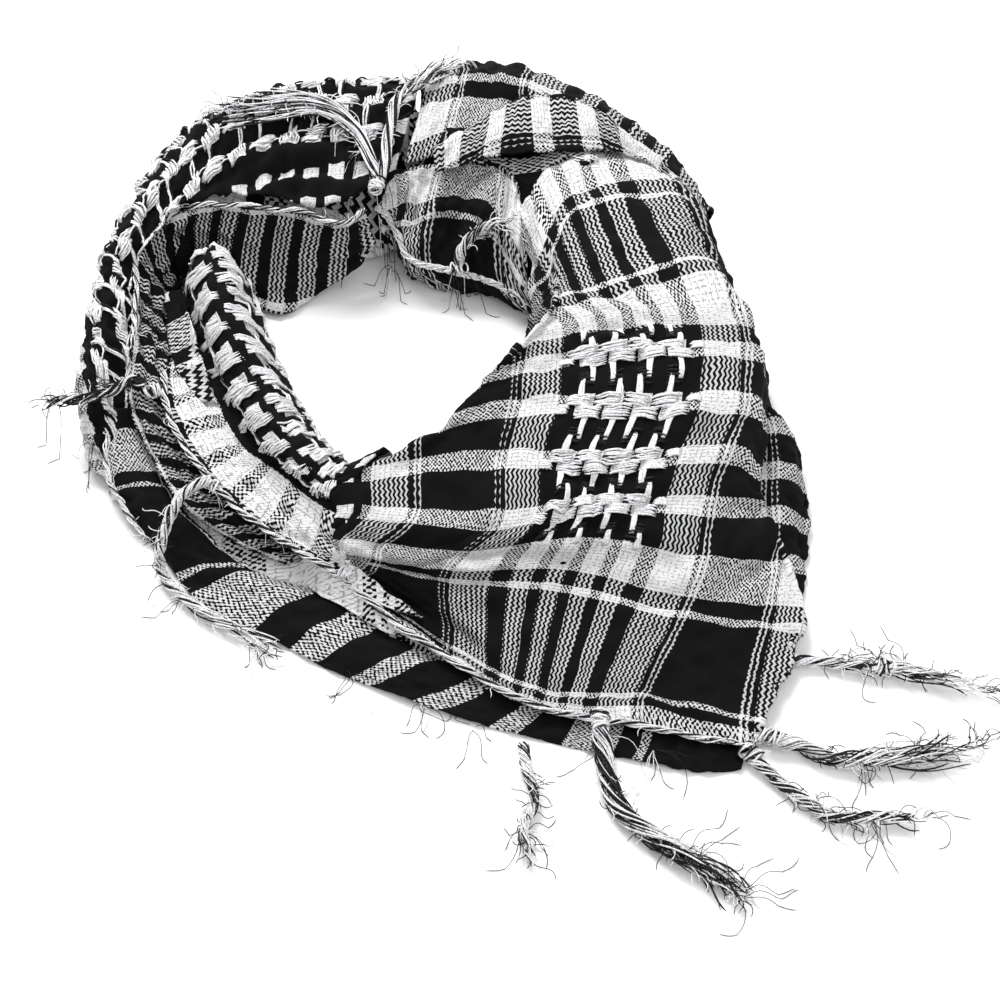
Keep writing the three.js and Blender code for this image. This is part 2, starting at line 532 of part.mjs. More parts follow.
// Move the scarf so that its origin is the middle of the base of its bounding box.
const box = new THREE.Box3().setFromObject(scarf);
const centre = box.getCenter(new THREE.Vector3());
scarf.children.forEach((mesh) => mesh.position.set(-centre.x, -centre.y, -box.min.z));

export default scarf;
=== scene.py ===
"""Keffiyeh headscarf, black and white plaid cotton, folded to a triangle and laid as a neck ring.

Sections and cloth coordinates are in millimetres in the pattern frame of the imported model; SHIFT moves
them into the frame, and every mesh is made in metres.
"""
import math

import bmesh
import bpy
import numpy as np
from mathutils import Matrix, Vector


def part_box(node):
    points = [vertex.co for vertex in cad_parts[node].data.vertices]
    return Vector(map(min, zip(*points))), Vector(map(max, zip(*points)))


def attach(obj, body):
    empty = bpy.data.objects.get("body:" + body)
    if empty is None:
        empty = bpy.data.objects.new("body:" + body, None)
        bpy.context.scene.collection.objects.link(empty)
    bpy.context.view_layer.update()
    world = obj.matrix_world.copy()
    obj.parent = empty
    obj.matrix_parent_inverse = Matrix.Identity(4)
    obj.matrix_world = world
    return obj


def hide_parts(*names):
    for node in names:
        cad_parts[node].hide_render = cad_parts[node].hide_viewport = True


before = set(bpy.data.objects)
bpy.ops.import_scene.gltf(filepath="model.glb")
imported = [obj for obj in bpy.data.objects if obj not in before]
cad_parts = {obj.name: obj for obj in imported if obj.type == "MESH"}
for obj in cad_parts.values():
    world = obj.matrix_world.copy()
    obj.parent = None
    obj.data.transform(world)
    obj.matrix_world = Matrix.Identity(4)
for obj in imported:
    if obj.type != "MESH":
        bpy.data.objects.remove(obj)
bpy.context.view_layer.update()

MM = 0.001
CLOTH = 0.9              # thickness of the visible cloth
YARN = 0.31              # radius of one yarn
LIFT = 1.0               # how far yarn lies above the middle of the cloth below it
TUBE_SIDES = 5           # sides of one yarn
WHITE, BLACK = 0, 1      # the two yarns, by their place in a piece's materials

# ---------- tassels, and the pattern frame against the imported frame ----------
# Each tassel: its centre line, the radius of its twisted part, its yarns and their turns, then the share
# of its length that is frayed and how far the frayed ends spread.
TASSELS = {
    "tassel_left": dict(line=[(-150, 37, 32), (-157, 39, 32), (-165, 35, 30), (-177, 31, 29),
                              (-188, 33, 26), (-197, 34, 22)],
                        thick=2.2, strands=18, turns=2.2, fray=0.5, spread=4.5),
    "tassel_lower_left": dict(line=[(-119, -12, 27), (-124, -14, 27), (-131, -17, 23), (-136, -25, 18),
                                    (-140, -37, 9), (-137, -46, 4), (-128, -56, 4), (-114, -67, 4),
                                    (-100, -75, 4), (-88, -83, 4)],
                              thick=2.3, strands=18, turns=4.5, fray=0.45, spread=4.0),
    "tassel_front_left": dict(line=[(9, -127, 4), (10, -137, 4), (13, -151, 4), (9, -166, 4),
                                    (12, -181, 3.5)],
                              thick=2.4, strands=20, turns=2.4, fray=0.4, spread=4.5),
    "tassel_front": dict(line=[(39, -122, 6), (40, -131, 4.5), (41, -142, 4.5), (45, -156, 4.5),
                               (55, -167, 4.5), (67, -176, 4.5), (81, -186, 4), (89, -196, 3.5)],
                         thick=3.8, strands=40, turns=1.8, fray=0.55, spread=8.0),
    "tassel_tip_low": dict(line=[(97, -134, 5), (106, -143, 4), (115, -152, 4), (127, -160, 4),
                                 (147, -161, 4), (162, -161, 3.5)],
                           thick=2.4, strands=22, turns=3.0, fray=0.4, spread=5.0),
    "tassel_tip_high": dict(line=[(104, -125, 5), (116, -128, 4.5), (128, -134, 4.5), (144, -134, 4.5),
                                  (164, -132, 4.5), (184, -127, 4)],
                            thick=3.0, strands=34, turns=2.2, fray=0.6, spread=10.0),
    "tassel_right": dict(line=[(114, -86, 5), (120, -87, 4), (134, -88, 4), (147, -91, 4), (161, -93, 4.5),
                               (180, -98, 4.5), (194, -103, 4)],
                         thick=2.3, strands=24, turns=3.0, fray=0.5, spread=7.0),
    "fringe_top": dict(line=[(-55, 146, 50), (-57, 152, 52), (-64, 168, 56), (-76, 180, 59), (-90, 184, 60),
                             (-108, 182, 60), (-128, 182, 59)],
                       thick=2.8, strands=56, turns=0.5, fray=0.9, spread=12.0),
    "tassel_top": dict(line=[(-55, 144, 49), (-52, 152, 52), (-50, 170, 56), (-47, 190, 58), (-40, 200, 57),
                             (-30, 212, 56), (-17, 222, 54)],
                       thick=2.6, strands=26, turns=1.8, fray=0.5, spread=6.0),
    "tassel_neck": dict(line=[(-19, 121, 21), (-17, 124, 27), (-12, 128, 32), (-5, 129, 37), (3, 128, 40)],
                        thick=2.4, strands=18, turns=1.6, fray=0.4, spread=4.0),
}


TIP_LOW_MIDDLE = (129.782, -150.009)     # middle of tassel_tip_low in the pattern frame


def frame_shift():
    """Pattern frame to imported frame, from where one tassel lies in both."""
    low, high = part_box("tassel_tip_low")
    return np.array([(low[k] + high[k]) / 2 - TIP_LOW_MIDDLE[k] * MM for k in (0, 1)] + [0.0])


SHIFT = frame_shift()


def placed(points):
    return np.asarray(points, float) * MM + SHIFT


# ---------- camera, light and floor ----------
CAMERA_LENS = 85.0
CAMERA_REACH = 1000.0    # from the middle of the picture on the floor, mm
CAMERA_RISE = 50.0       # degrees above the floor
FLOOR_HALF = 6.0         # m
WORLD_LIGHT = 0.62
LAMPS = {
    # place and size in m, then watts
    "key": ((-0.35, 0.7, 1.1), 0.7, 21.0),
    "fill": ((0.5, -0.7, 1.2), 1.2, 8.0),
}


def make_stage():
    rise = math.radians(CAMERA_RISE)
    data = bpy.data.cameras.new("camera")
    data.lens = CAMERA_LENS
    camera = bpy.data.objects.new("camera", data)
    bpy.context.scene.collection.objects.link(camera)
    camera.location = placed([0, -CAMERA_REACH * math.cos(rise), CAMERA_REACH * math.sin(rise)])
    camera.rotation_euler = (math.radians(90.0 - CAMERA_RISE), 0, 0)
    bpy.context.scene.camera = camera

    floor = bpy.data.meshes.new("floor")
    corners = [(-1, -1), (1, -1), (1, 1), (-1, 1)]
    floor.from_pydata([(x * FLOOR_HALF, y * FLOOR_HALF, 0) for x, y in corners], [], [(0, 1, 2, 3)])
    stage = bpy.data.objects.new("floor", floor)
    bpy.context.scene.collection.objects.link(stage)
    floor.materials.append(plain_material("floor_paper", (0.93, 0.93, 0.93), 0.8))

    world = bpy.data.worlds.new("studio")
    world.use_nodes = True
    background = world.node_tree.nodes["Background"]
    background.inputs["Color"].default_value = (1, 1, 1, 1)
    background.inputs["Strength"].default_value = WORLD_LIGHT
    bpy.context.scene.world = world
    for name, (place, size, power) in LAMPS.items():
        light = bpy.data.lights.new(name, "AREA")
        light.size = size
        light.energy = power
        lamp = bpy.data.objects.new(name, light)
        bpy.context.scene.collection.objects.link(lamp)
        lamp.location = place
        lamp.rotation_euler = (-Vector(place)).to_track_quat("-Z", "Y").to_euler()
    view = bpy.context.scene.view_settings
    view.view_transform = "Standard"
    view.look = "None"


def plain_material(name, color, roughness):
    material = bpy.data.materials.new(name)
    material.use_nodes = True
    shader = material.node_tree.nodes["Principled BSDF"]
    shader.inputs["Base Color"].default_value = (*color, 1)
    shader.inputs["Roughness"].default_value = roughness
    return material


# ---------- the plaid, as a material on cloth coordinates ----------
# White stripes across the cloth, from the fringed edge inwards (mm along v).
WEFT_SPAN = 340.0
WEFT_WHITE = [(0, 4), (9, 11), (60, 64), (72, 91), (104, 112), (125.5, 133.5), (147, 155.5), (170, 178.5),
              (190, 212), (217, 219.5), (266, 269), (277, 297)]
# White stripes along the cloth, about the middle of one field of blocks (mm along u).
WARP_REPEAT = 135.0
WARP_WHITE = [(-51.4, -50.3), (-49.3, -48.2), (-46, -30), (-22.2, -14.6), (-9.9, -2.3), (2.3, 9.9),
              (14.6, 22.2), (30, 46), (48.2, 49.3), (50.3, 51.4)]
BLOCK_PITCH = 12.25      # yarn blocks along a row
BLOCK_WHITE = 0.62       # the part of the pitch that is white
FIELD = (92.0, 189.0)    # v where blocks stand; beyond BLOCKS_ONLY they run on past its end
FIELD_HALF = 26.0        # half of a field's width in u
BLOCKS_ONLY = 500.0      # u beyond this runs on as blocks without wide stripes


class Graph:
    """Short calls for shader maths."""

    def __init__(self, tree):
        self.tree = tree

    def node(self, kind, **props):
        node = self.tree.nodes.new(kind)
        for key, value in props.items():
            setattr(node, key, value)
        return node

    def math(self, operation, a, b=None, c=None):
        node = self.node("ShaderNodeMath", operation=operation)
        for socket, value in zip(node.inputs, (a, b, c)):
            if value is None:
                continue
            if isinstance(value, (int, float)):
                socket.default_value = value
            else:
                self.tree.links.new(value, socket)
        return node.outputs[0]

    def noise(self, vector, scale, detail=2.0):
        node = self.node("ShaderNodeTexNoise")
        node.inputs["Scale"].default_value = scale
        node.inputs["Detail"].default_value = detail
        self.tree.links.new(vector, node.inputs["Vector"])
        return node.outputs["Fac"]

    def stripes(self, value, start, span, white):
        """1 inside the white stripes, 0 between them."""
        place = self.math("DIVIDE", self.math("SUBTRACT", value, start), span)
        ramp = self.node("ShaderNodeValToRGB")
        ramp.color_ramp.interpolation = "CONSTANT"
        elements = ramp.color_ramp.elements
        while len(elements) > 1:
            elements.remove(elements[-1])
        elements[0].position = 0.0
        elements[0].color = (1, 1, 1, 1) if white[0][0] <= start else (0, 0, 0, 1)
        for low, high in white:
            if low > start:
                elements.new((low - start) / span).color = (1, 1, 1, 1)
            elements.new((high - start) / span).color = (0, 0, 0, 1)
        self.tree.links.new(place, ramp.inputs["Fac"])
        return ramp.outputs["Color"]


def plaid_material(name="plaid", black=0.003, white=0.74):
    material = bpy.data.materials.new(name)
    material.use_nodes = True
    tree = material.node_tree
    g = Graph(tree)
    shader = tree.nodes["Principled BSDF"]
    uv = g.node("ShaderNodeUVMap", uv_map="weave")
    parts = g.node("ShaderNodeSeparateXYZ")
    tree.links.new(uv.outputs["UV"], parts.inputs[0])
    wobble = g.math("MULTIPLY", g.math("SUBTRACT", g.noise(uv.outputs["UV"], 160.0), 0.5), 1.5)
    drift = g.math("MULTIPLY", g.math("SUBTRACT", g.noise(uv.outputs["UV"], 45.0), 0.5), 2.4)
    u = g.math("ADD", g.math("MULTIPLY", parts.outputs[0], 1000.0), wobble)
    v = g.math("ADD", g.math("MULTIPLY", parts.outputs[1], 1000.0), drift)

    folded = g.math("WRAP", u, WARP_REPEAT / 2, -WARP_REPEAT / 2)
    plain_warp = g.stripes(folded, -WARP_REPEAT / 2, WARP_REPEAT, WARP_WHITE)
    block_warp = g.math("LESS_THAN", g.math("FRACT", g.math("DIVIDE", u, BLOCK_PITCH)), BLOCK_WHITE)
    only = g.math("GREATER_THAN", u, BLOCKS_ONLY)
    warp = g.math("ADD", g.math("MULTIPLY", plain_warp, g.math("SUBTRACT", 1.0, only)),
                  g.math("MULTIPLY", block_warp, only))
    weft = g.stripes(v, 0.0, WEFT_SPAN, WEFT_WHITE)
    near = g.math("LESS_THAN", g.math("ABSOLUTE", folded), FIELD_HALF)
    beyond = g.math("GREATER_THAN", v, FIELD[0])
    field = g.math("MULTIPLY", beyond, g.math("MAXIMUM", only,
                                              g.math("MULTIPLY", near, g.math("LESS_THAN", v, FIELD[1]))))
    open_cloth = g.math("SUBTRACT", 1.0, field)

    zig = g.math("MULTIPLY", g.math("SUBTRACT", g.math("PINGPONG", v, 1.5), 0.75), 0.62)
    line = g.math("FRACT", g.math("DIVIDE", g.math("ADD", u, zig), 2.1))
    wavy = g.math("LESS_THAN", line, 0.46)
    dots = g.math("MULTIPLY", g.math("SINE", g.math("MULTIPLY", u, 2 * math.pi / 1.6)),
                  g.math("SINE", g.math("MULTIPLY", v, 2 * math.pi / 2.1)))
    grain = g.noise(uv.outputs["UV"], 900.0, 0.0)
    uneven = g.math("MULTIPLY", g.math("SUBTRACT", grain, 0.5), 2.2)
    pepper = g.math("GREATER_THAN", g.math("ADD", dots, uneven), -0.05)
    hair_v = g.math("LESS_THAN", g.math("FRACT", g.math("DIVIDE", v, 1.55)), 0.24)
    hair_u = g.math("LESS_THAN", g.math("FRACT", g.math("DIVIDE", u, 2.3)), 0.16)
    hair_break = g.math("GREATER_THAN", grain, 0.48)
    hair = g.math("MULTIPLY", g.math("MAXIMUM", hair_v, hair_u), hair_break)
    clean = g.math("SUBTRACT", 1.0, g.math("MULTIPLY", hair, 0.5))

    dark_warp = g.math("SUBTRACT", 1.0, warp)
    dark_weft = g.math("SUBTRACT", 1.0, weft)
    peppered = g.math("MULTIPLY", g.math("MULTIPLY", dark_warp, pepper), g.math("MULTIPLY", open_cloth, 0.86))
    on_white = g.math("ADD", g.math("MULTIPLY", warp, clean), peppered)
    on_black = g.math("MULTIPLY", g.math("MULTIPLY", warp, wavy), g.math("MULTIPLY", open_cloth, 0.74))
    value = g.math("ADD", g.math("MULTIPLY", weft, on_white), g.math("MULTIPLY", dark_weft, on_black))
    mottled = g.math("ADD", g.math("MULTIPLY", g.noise(uv.outputs["UV"], 260.0), 0.22), 0.86)
    value = g.math("MULTIPLY", value, mottled)

    ramp = g.node("ShaderNodeValToRGB")
    ramp.color_ramp.elements[0].color = (black, black, black * 1.15, 1)
    ramp.color_ramp.elements[1].color = (white, white, white * 1.01, 1)
    tree.links.new(value, ramp.inputs["Fac"])
    tree.links.new(ramp.outputs["Color"], shader.inputs["Base Color"])
    shader.inputs["Roughness"].default_value = 0.9
    shader.inputs["Specular IOR Level"].default_value = 0.12

    yarns = g.math("MULTIPLY", g.math("SINE", g.math("MULTIPLY", u, 2 * math.pi / 0.95)),
                   g.math("SINE", g.math("MULTIPLY", v, 2 * math.pi / 1.3)))
    height = g.math("ADD", g.math("MULTIPLY", value, 0.8), g.math("MULTIPLY", yarns, 0.35))
    bump = g.node("ShaderNodeBump")
    bump.inputs["Strength"].default_value = 0.8
    bump.inputs["Distance"].default_value = 0.0006
    tree.links.new(height, bump.inputs["Height"])
    tree.links.new(bump.outputs["Normal"], shader.inputs["Normal"])
    return material


def yarn_material(name, color, other):
    material = bpy.data.materials.new(name)
    material.use_nodes = True
    tree = material.node_tree
    g = Graph(tree)
    shader = tree.nodes["Principled BSDF"]
    place = g.node("ShaderNodeTexCoord").outputs["Object"]
    ramp = g.node("ShaderNodeValToRGB")
    ramp.color_ramp.elements[0].position = 0.42
    ramp.color_ramp.elements[1].position = 0.58
    ramp.color_ramp.elements[0].color = (*color, 1)
    ramp.color_ramp.elements[1].color = (*other, 1)
    fibre = g.noise(place, 1400.0)
    tree.links.new(fibre, ramp.inputs["Fac"])
    tree.links.new(ramp.outputs["Color"], shader.inputs["Base Color"])
    shader.inputs["Roughness"].default_value = 0.95
    shader.inputs["Specular IOR Level"].default_value = 0.06
    bump = g.node("ShaderNodeBump")
    bump.inputs["Strength"].default_value = 0.9
    bump.inputs["Distance"].default_value = 0.0004
    tree.links.new(fibre, bump.inputs["Height"])
    tree.links.new(bump.outputs["Normal"], shader.inputs["Normal"])
    return material


# ---------- sheets from sections ----------
def spline(values, steps):
    """Catmull-Rom through the rows of values, resampled to steps + 1 rows."""
    padded = np.concatenate([2 * values[:1] - values[1:2], values, 2 * values[-1:] - values[-2:-1]])
    t = np.linspace(0, len(values) - 1, steps + 1)
    k = np.minimum(t.astype(int), len(values) - 2)
    f = (t - k).reshape((-1,) + (1,) * (values.ndim - 1))
    a, b, c, d = padded[k], padded[k + 1], padded[k + 2], padded[k + 3]
    square = (2 * a - 5 * b + 4 * c - d) * f ** 2
    cube = (3 * b - a - 3 * c + d) * f ** 3
    return 0.5 * (2 * b + (c - a) * f + square + cube)


def normals_of(grid):
    across = np.gradient(grid, axis=1)
    along = np.gradient(grid, axis=0)
    normal = np.cross(across, along)
    normal /= np.linalg.norm(normal, axis=2, keepdims=True) + 1e-9
    return normal


def smooth_noise(weave, size, seed):
    """Soft uneven relief over cloth coordinates, about -1 to 1."""
    local = np.random.default_rng(seed)
    total = np.zeros(weave.shape[:2])
    for _ in range(14):
        angle = local.uniform(0, math.pi)
        wave = size * local.uniform(0.7, 1.9)
        phase = local.uniform(0, 2 * math.pi)
        place = weave[..., 0] * math.cos(angle) + weave[..., 1] * math.sin(angle)
        total += np.sin(place * 2 * math.pi / wave + phase)
    return total / 4.5


def crease(weave, start, end, width, height):
    """One soft ridge or trough between two places on the cloth, fading at its ends."""
    a = np.array(start, float)
    d = np.array(end, float) - a
    length = np.linalg.norm(d)
    rel = weave - a
    t = (rel @ d) / length ** 2
    off = (rel[..., 0] * -d[1] + rel[..., 1] * d[0]) / length
    ends = np.clip(1 - np.clip(np.abs(t - 0.5) * 2 - 0.55, 0, None) / 0.45, 0, 1)
    ends = ends * ends * (3 - 2 * ends)
    return height * np.exp(-(off / width) ** 2) * ends


def build_mesh(name, points, faces, materials, which=None, uvs=None):
    """A smooth-shaded object; points are in mm, which gives each face's material, uvs are per point."""
    mesh = bpy.data.meshes.new(name)
    mesh.from_pydata(placed(points).tolist(), [], faces)
    for material in materials:
        mesh.materials.append(material)
    if which is not None:
        mesh.polygons.foreach_set("material_index", which)
    if uvs is not None:
        set_weave(mesh, uvs)
    mesh.polygons.foreach_set("use_smooth", np.ones(len(mesh.polygons), bool))
    mesh.update()
    piece = bpy.data.objects.new(name, mesh)
    bpy.context.scene.collection.objects.link(piece)
    return piece


def set_weave(mesh, uvs):
    """Cloth coordinates, given per vertex in metres, as the mesh's UVs."""
    layer = mesh.uv_layers.new(name="weave")
    loops = np.empty(len(mesh.loops), int)
    mesh.loops.foreach_get("vertex_index", loops)
    layer.data.foreach_set("uv", uvs[loops].ravel())


def shell_from_grid(name, grid, weave, thickness, material):
    """A thin closed shell on both sides of a grid of points, with the cloth coordinates as its UVs."""
    rows, columns = grid.shape[:2]
    normal = normals_of(grid)
    top = grid + normal * thickness / 2
    bottom = grid - normal * thickness / 2
    for side in (top, bottom):
        side[..., 2] = np.maximum(side[..., 2], 0.05)
    points = np.concatenate([top.reshape(-1, 3), bottom.reshape(-1, 3)])
    index = np.arange(rows * columns).reshape(rows, columns)
    a, b = index[:-1, :-1].ravel(), index[:-1, 1:].ravel()
    c, d = index[1:, 1:].ravel(), index[1:, :-1].ravel()
    lower = rows * columns
    rim = np.concatenate([index[0, :], index[1:, -1], index[-1, -2::-1], index[-2:0:-1, 0]])
    following = np.roll(rim, -1)
    faces = np.concatenate([
        np.stack([a, b, c, d], 1),
        np.stack([a, d, c, b], 1) + lower,
        np.stack([following, rim, rim + lower, following + lower], 1),
    ])
    uvs = np.concatenate([weave.reshape(-1, 2), weave.reshape(-1, 2)]) * MM
    return build_mesh(name, points, faces.tolist(), [material], uvs=uvs)


# Each row is one section: (x, y, z, u, v) at every named fold line, u and v being cloth coordinates.
BIB = [
    # tuck, neck, left, middle, right, side, fall
    [(-70, -52, 6, -96, 0), (-64, -53, 10, -84, 0), (-26, -85, 7, -50, 0), (14, -111, 5, 0, 0),
     (55, -120, 5, 50, 0), (95, -129, 5, 86, 0), (98, -130, 4, 89, 0)],
    [(-69, -50, 6, -96, 10), (-63, -50, 11, -84, 10), (-22, -80, 6, -50, 10), (16, -104, 6.5, 0, 10),
     (56, -107, 6.5, 50, 10), (98, -118, 6.5, 88, 10), (101, -118, 5, 91, 10)],
    [(-66, -46, 13, -108, 62), (-60, -48, 20, -100, 62), (-24, -59, 20, -50, 62), (26, -62, 17, 0, 62),
     (73, -72, 12, 50, 62), (117, -75, 8, 98, 62), (119, -75, 6.5, 100, 62)],
    [(-67, -44, 26, -108, 90), (-60, -46, 29, -100, 90), (-16, -51, 28, -50, 90), (35, -45, 28, 0, 90),
     (82, -49, 20, 50, 90), (116, -43, 11, 90, 90), (118, -43, 9.5, 92, 90)],
    [(-67, -36, 32, -120, 108), (-60, -37, 36, -113, 108), (-3, -41, 34, -50, 108), (40, -33, 36, 0, 108),
     (86, -28, 28, 50, 108), (107, -20, 18, 70, 108), (109, -20, 16, 72, 108)],
    [(-64, -22, 36, -118, 129.5), (-57, -22, 41, -110, 129.5), (-1, -14, 42, -50, 129.5),
     (43, -16, 42, 0, 129.5), (93, -5, 34, 50, 129.5), (106, -7, 25, 63, 129.5), (108, -6, 21, 66, 129.5)],
    [(-30, 13, 4, -128, 151), (-24, -1, 46, -78, 151), (4, 9, 47, -50, 151), (52, 10, 47, 0, 151),
     (102, 19, 37, 50, 151), (110, 18, 29, 58, 151), (112, 19, 24, 63, 151)],
    [(-18, 31, 4, -115, 174), (-8, 21, 49, -66, 174), (6, 28, 50, -50, 174), (55, 38, 51, 0, 174),
     (105, 48, 39, 50, 174), (112, 50, 30, 58, 174), (117, 50, 6, 82, 174)],
    [(0, 53, 4, -92, 201), (12, 45, 52, -43, 201), (20, 49, 53, -36, 201), (53, 57, 54, 0, 201),
     (101, 70, 43, 48, 201), (107, 72, 33, 58, 201), (114, 72, 6, 85, 201)],
    [(8, 69, 6, -74, 217), (22, 64, 52, -26, 217), (26, 66, 53, -21, 217), (48, 72, 55, 4, 217),
     (87, 94, 48, 40, 217), (100, 94, 35, 56, 217), (108, 95, 6, 86, 217)],
    [(14, 96, 24, -40, 268), (21, 94, 43, -19, 268), (24, 106, 46, -14, 268), (36, 127, 49, 4, 268),
     (80, 139, 46, 46, 268), (94, 126, 34, 58, 268), (102, 126, 6, 88, 268)],
    [(8, 146, 30, -25, 297), (13, 146, 40, -14, 297), (17, 153, 43, -9, 297), (28, 165, 44, 4, 297),
     (64, 171, 42, 40, 297), (86, 156, 34, 64, 297), (94, 158, 10, 90, 297)],
]

LEFT_ROLL = [
    # edge, band, gully, crest, side, foot
    [(-143, 121, 14, 720, 72), (-140, 121, 15, 720, 84), (-136, 121, 23, 720, 94), (-129, 121, 32, 720, 118),
     (-122, 121, 23, 720, 142), (-120, 121, 8, 720, 166)],
    [(-143, 103, 12, 706, 72), (-141, 102, 14, 706, 84), (-139, 101, 26, 706, 94), (-126, 102, 45, 706, 118),
     (-113, 104, 26, 706, 142), (-112, 106, 2, 706, 166)],
    [(-141, 77, 16, 688, 72), (-138, 77, 17, 688, 84), (-134, 75, 26, 688, 94), (-120, 76, 48, 688, 118),
     (-106, 82, 26, 688, 142), (-105, 84, 2, 688, 166)],
    [(-144, 50, 23, 670, 70), (-135, 51, 21, 670, 82), (-127, 52, 27, 670, 94), (-112, 50, 48, 670, 118),
     (-98, 58, 26, 670, 142), (-97, 62, 2, 670, 166)],
    [(-140, 24, 25, 652, 70), (-127, 28, 24, 652, 80), (-117, 28, 28, 652, 94), (-101, 26, 46, 652, 118),
     (-88, 35, 26, 652, 142), (-87, 40, 2, 652, 166)],
    [(-126, -2, 24, 634, 70), (-114, 2, 24, 634, 80), (-105, 6, 28, 634, 94), (-91, 3, 45, 634, 118),
     (-79, 16, 26, 634, 142), (-77, 22, 2, 634, 166)],
    [(-106, -25, 21, 618, 70), (-98, -16, 23, 618, 80), (-91, -8, 29, 618, 94), (-80, -14, 43, 618, 118),
     (-70, 2, 28, 618, 142), (-67, 14, 2, 618, 166)],
    [(-84, -41, 18, 604, 70), (-79, -34, 24, 604, 82), (-75, -26, 33, 604, 94), (-70, -24, 41, 604, 118),
     (-62, -8, 32, 604, 142), (-57, 12, 2, 604, 166)],
    [(-64, -52, 14, 592, 66), (-61, -46, 28, 592, 88), (-61, -37, 35, 592, 94), (-58, -23, 41, 592, 118),
     (-47, -8, 42, 592, 142), (-42, 14, 2, 592, 166)],
]

INNER_BAND = [
    # outer, middle, inner
    [(-60, 132, 42, 640, 8), (-58, 131, 33, 640, 22), (-56, 130, 24, 640, 38)],
    [(-72, 127, 41, 655, 8), (-71, 124, 28, 652, 26), (-68, 122, 15, 648, 46)],
    [(-89, 132, 42, 672, 8), (-88, 126, 22, 667, 34), (-85, 118, 3, 662, 62)],
    [(-111, 134, 44, 694, 8), (-106, 126, 22, 684, 36), (-98, 108, 2, 674, 66)],
    [(-131, 134, 44, 714, 8), (-124, 129, 25, 702, 36), (-114, 114, 4, 690, 66)],
    [(-149, 127, 42, 734, 8), (-140, 126, 26, 722, 34), (-132, 125, 10, 712, 60)],
    [(-160, 113, 38, 752, 8), (-153, 112, 26, 744, 30), (-146, 114, 14, 736, 52)],
    [(-160, 90, 34, 774, 8), (-154, 91, 25, 769, 26), (-147, 93, 17, 764, 48)],
    [(-158, 66, 31, 796, 8), (-151, 66, 25, 794, 26), (-144, 66, 18, 790, 46)],
    [(-158, 45, 27, 817, 8), (-150, 42, 25, 815, 26), (-138, 40, 18, 812, 48)],
    [(-157, 32, 22, 831, 8), (-148, 26, 22, 831, 26), (-134, 22, 18, 829, 50)],
    [(-147, 10, 17, 853, 8), (-138, 10, 19, 849, 26), (-124, 6, 17, 846, 50)],
    [(-132, -14, 14, 880, 8), (-124, -12, 16, 873, 26), (-112, -10, 16, 866, 48)],
    [(-110, -31, 11, 906, 8), (-104, -28, 14, 899, 24), (-96, -23, 14, 888, 42)],
    [(-88, -42, 9, 930, 8), (-82, -40, 11, 924, 20), (-76, -37, 12, 914, 34)],
]

OUTER_ROLL = [
    # foot, bulge, crest, inner
    [(-152, -12, 1.5, 560, 66), (-156, -10, 3, 560, 76), (-152, -14, 5, 560, 84), (-146, -14, 4, 560, 92)],
    [(-168, 20, 1.5, 592, 64), (-175, 20, 8, 592, 76), (-168, 14, 13, 592, 92), (-160, 12, 8, 592, 104)],
    [(-172, 45, 1.5, 616, 60), (-180, 42, 17, 616, 78), (-173, 36, 26, 616, 98), (-161, 34, 15, 616, 120)],
    [(-172, 68, 1.5, 640, 60), (-180, 66, 22, 640, 86), (-173, 62, 34, 640, 108), (-161, 56, 25, 640, 128)],
    [(-171, 95, 1.5, 664, 66), (-178, 94, 26, 664, 96), (-171, 88, 40, 664, 118), (-161, 80, 31, 664, 140)],
    [(-168, 118, 1.5, 684, 66), (-174, 118, 30, 684, 100), (-168, 106, 45, 684, 124),
     (-162, 98, 36, 684, 142)],
    [(-160, 145, 1.5, 708, 60), (-166, 145, 32, 708, 96), (-158, 132, 49, 708, 124),
     (-154, 119, 42, 708, 146)],
    [(-150, 170, 1.5, 732, 54), (-157, 172, 33, 732, 92), (-146, 156, 52, 732, 124),
     (-141, 132, 46, 732, 156)],
    [(-135, 192, 1.5, 756, 48), (-140, 196, 34, 756, 88), (-128, 178, 54, 756, 122),
     (-122, 138, 47, 756, 172)],
    [(-112, 208, 1.5, 780, 46), (-114, 214, 34, 780, 86), (-104, 192, 55, 780, 122),
     (-102, 138, 47, 780, 186)],
    [(-84, 216, 1.5, 804, 46), (-84, 222, 34, 804, 86), (-80, 198, 54, 804, 122), (-82, 132, 46, 804, 196)],
    [(-58, 218, 1.5, 826, 46), (-57, 224, 34, 826, 86), (-56, 202, 52, 826, 122), (-62, 140, 46, 826, 190)],
    [(-42, 222, 1.5, 840, 46), (-40, 230, 34, 840, 86), (-38, 208, 50, 840, 122), (-48, 152, 46, 840, 184)],
]

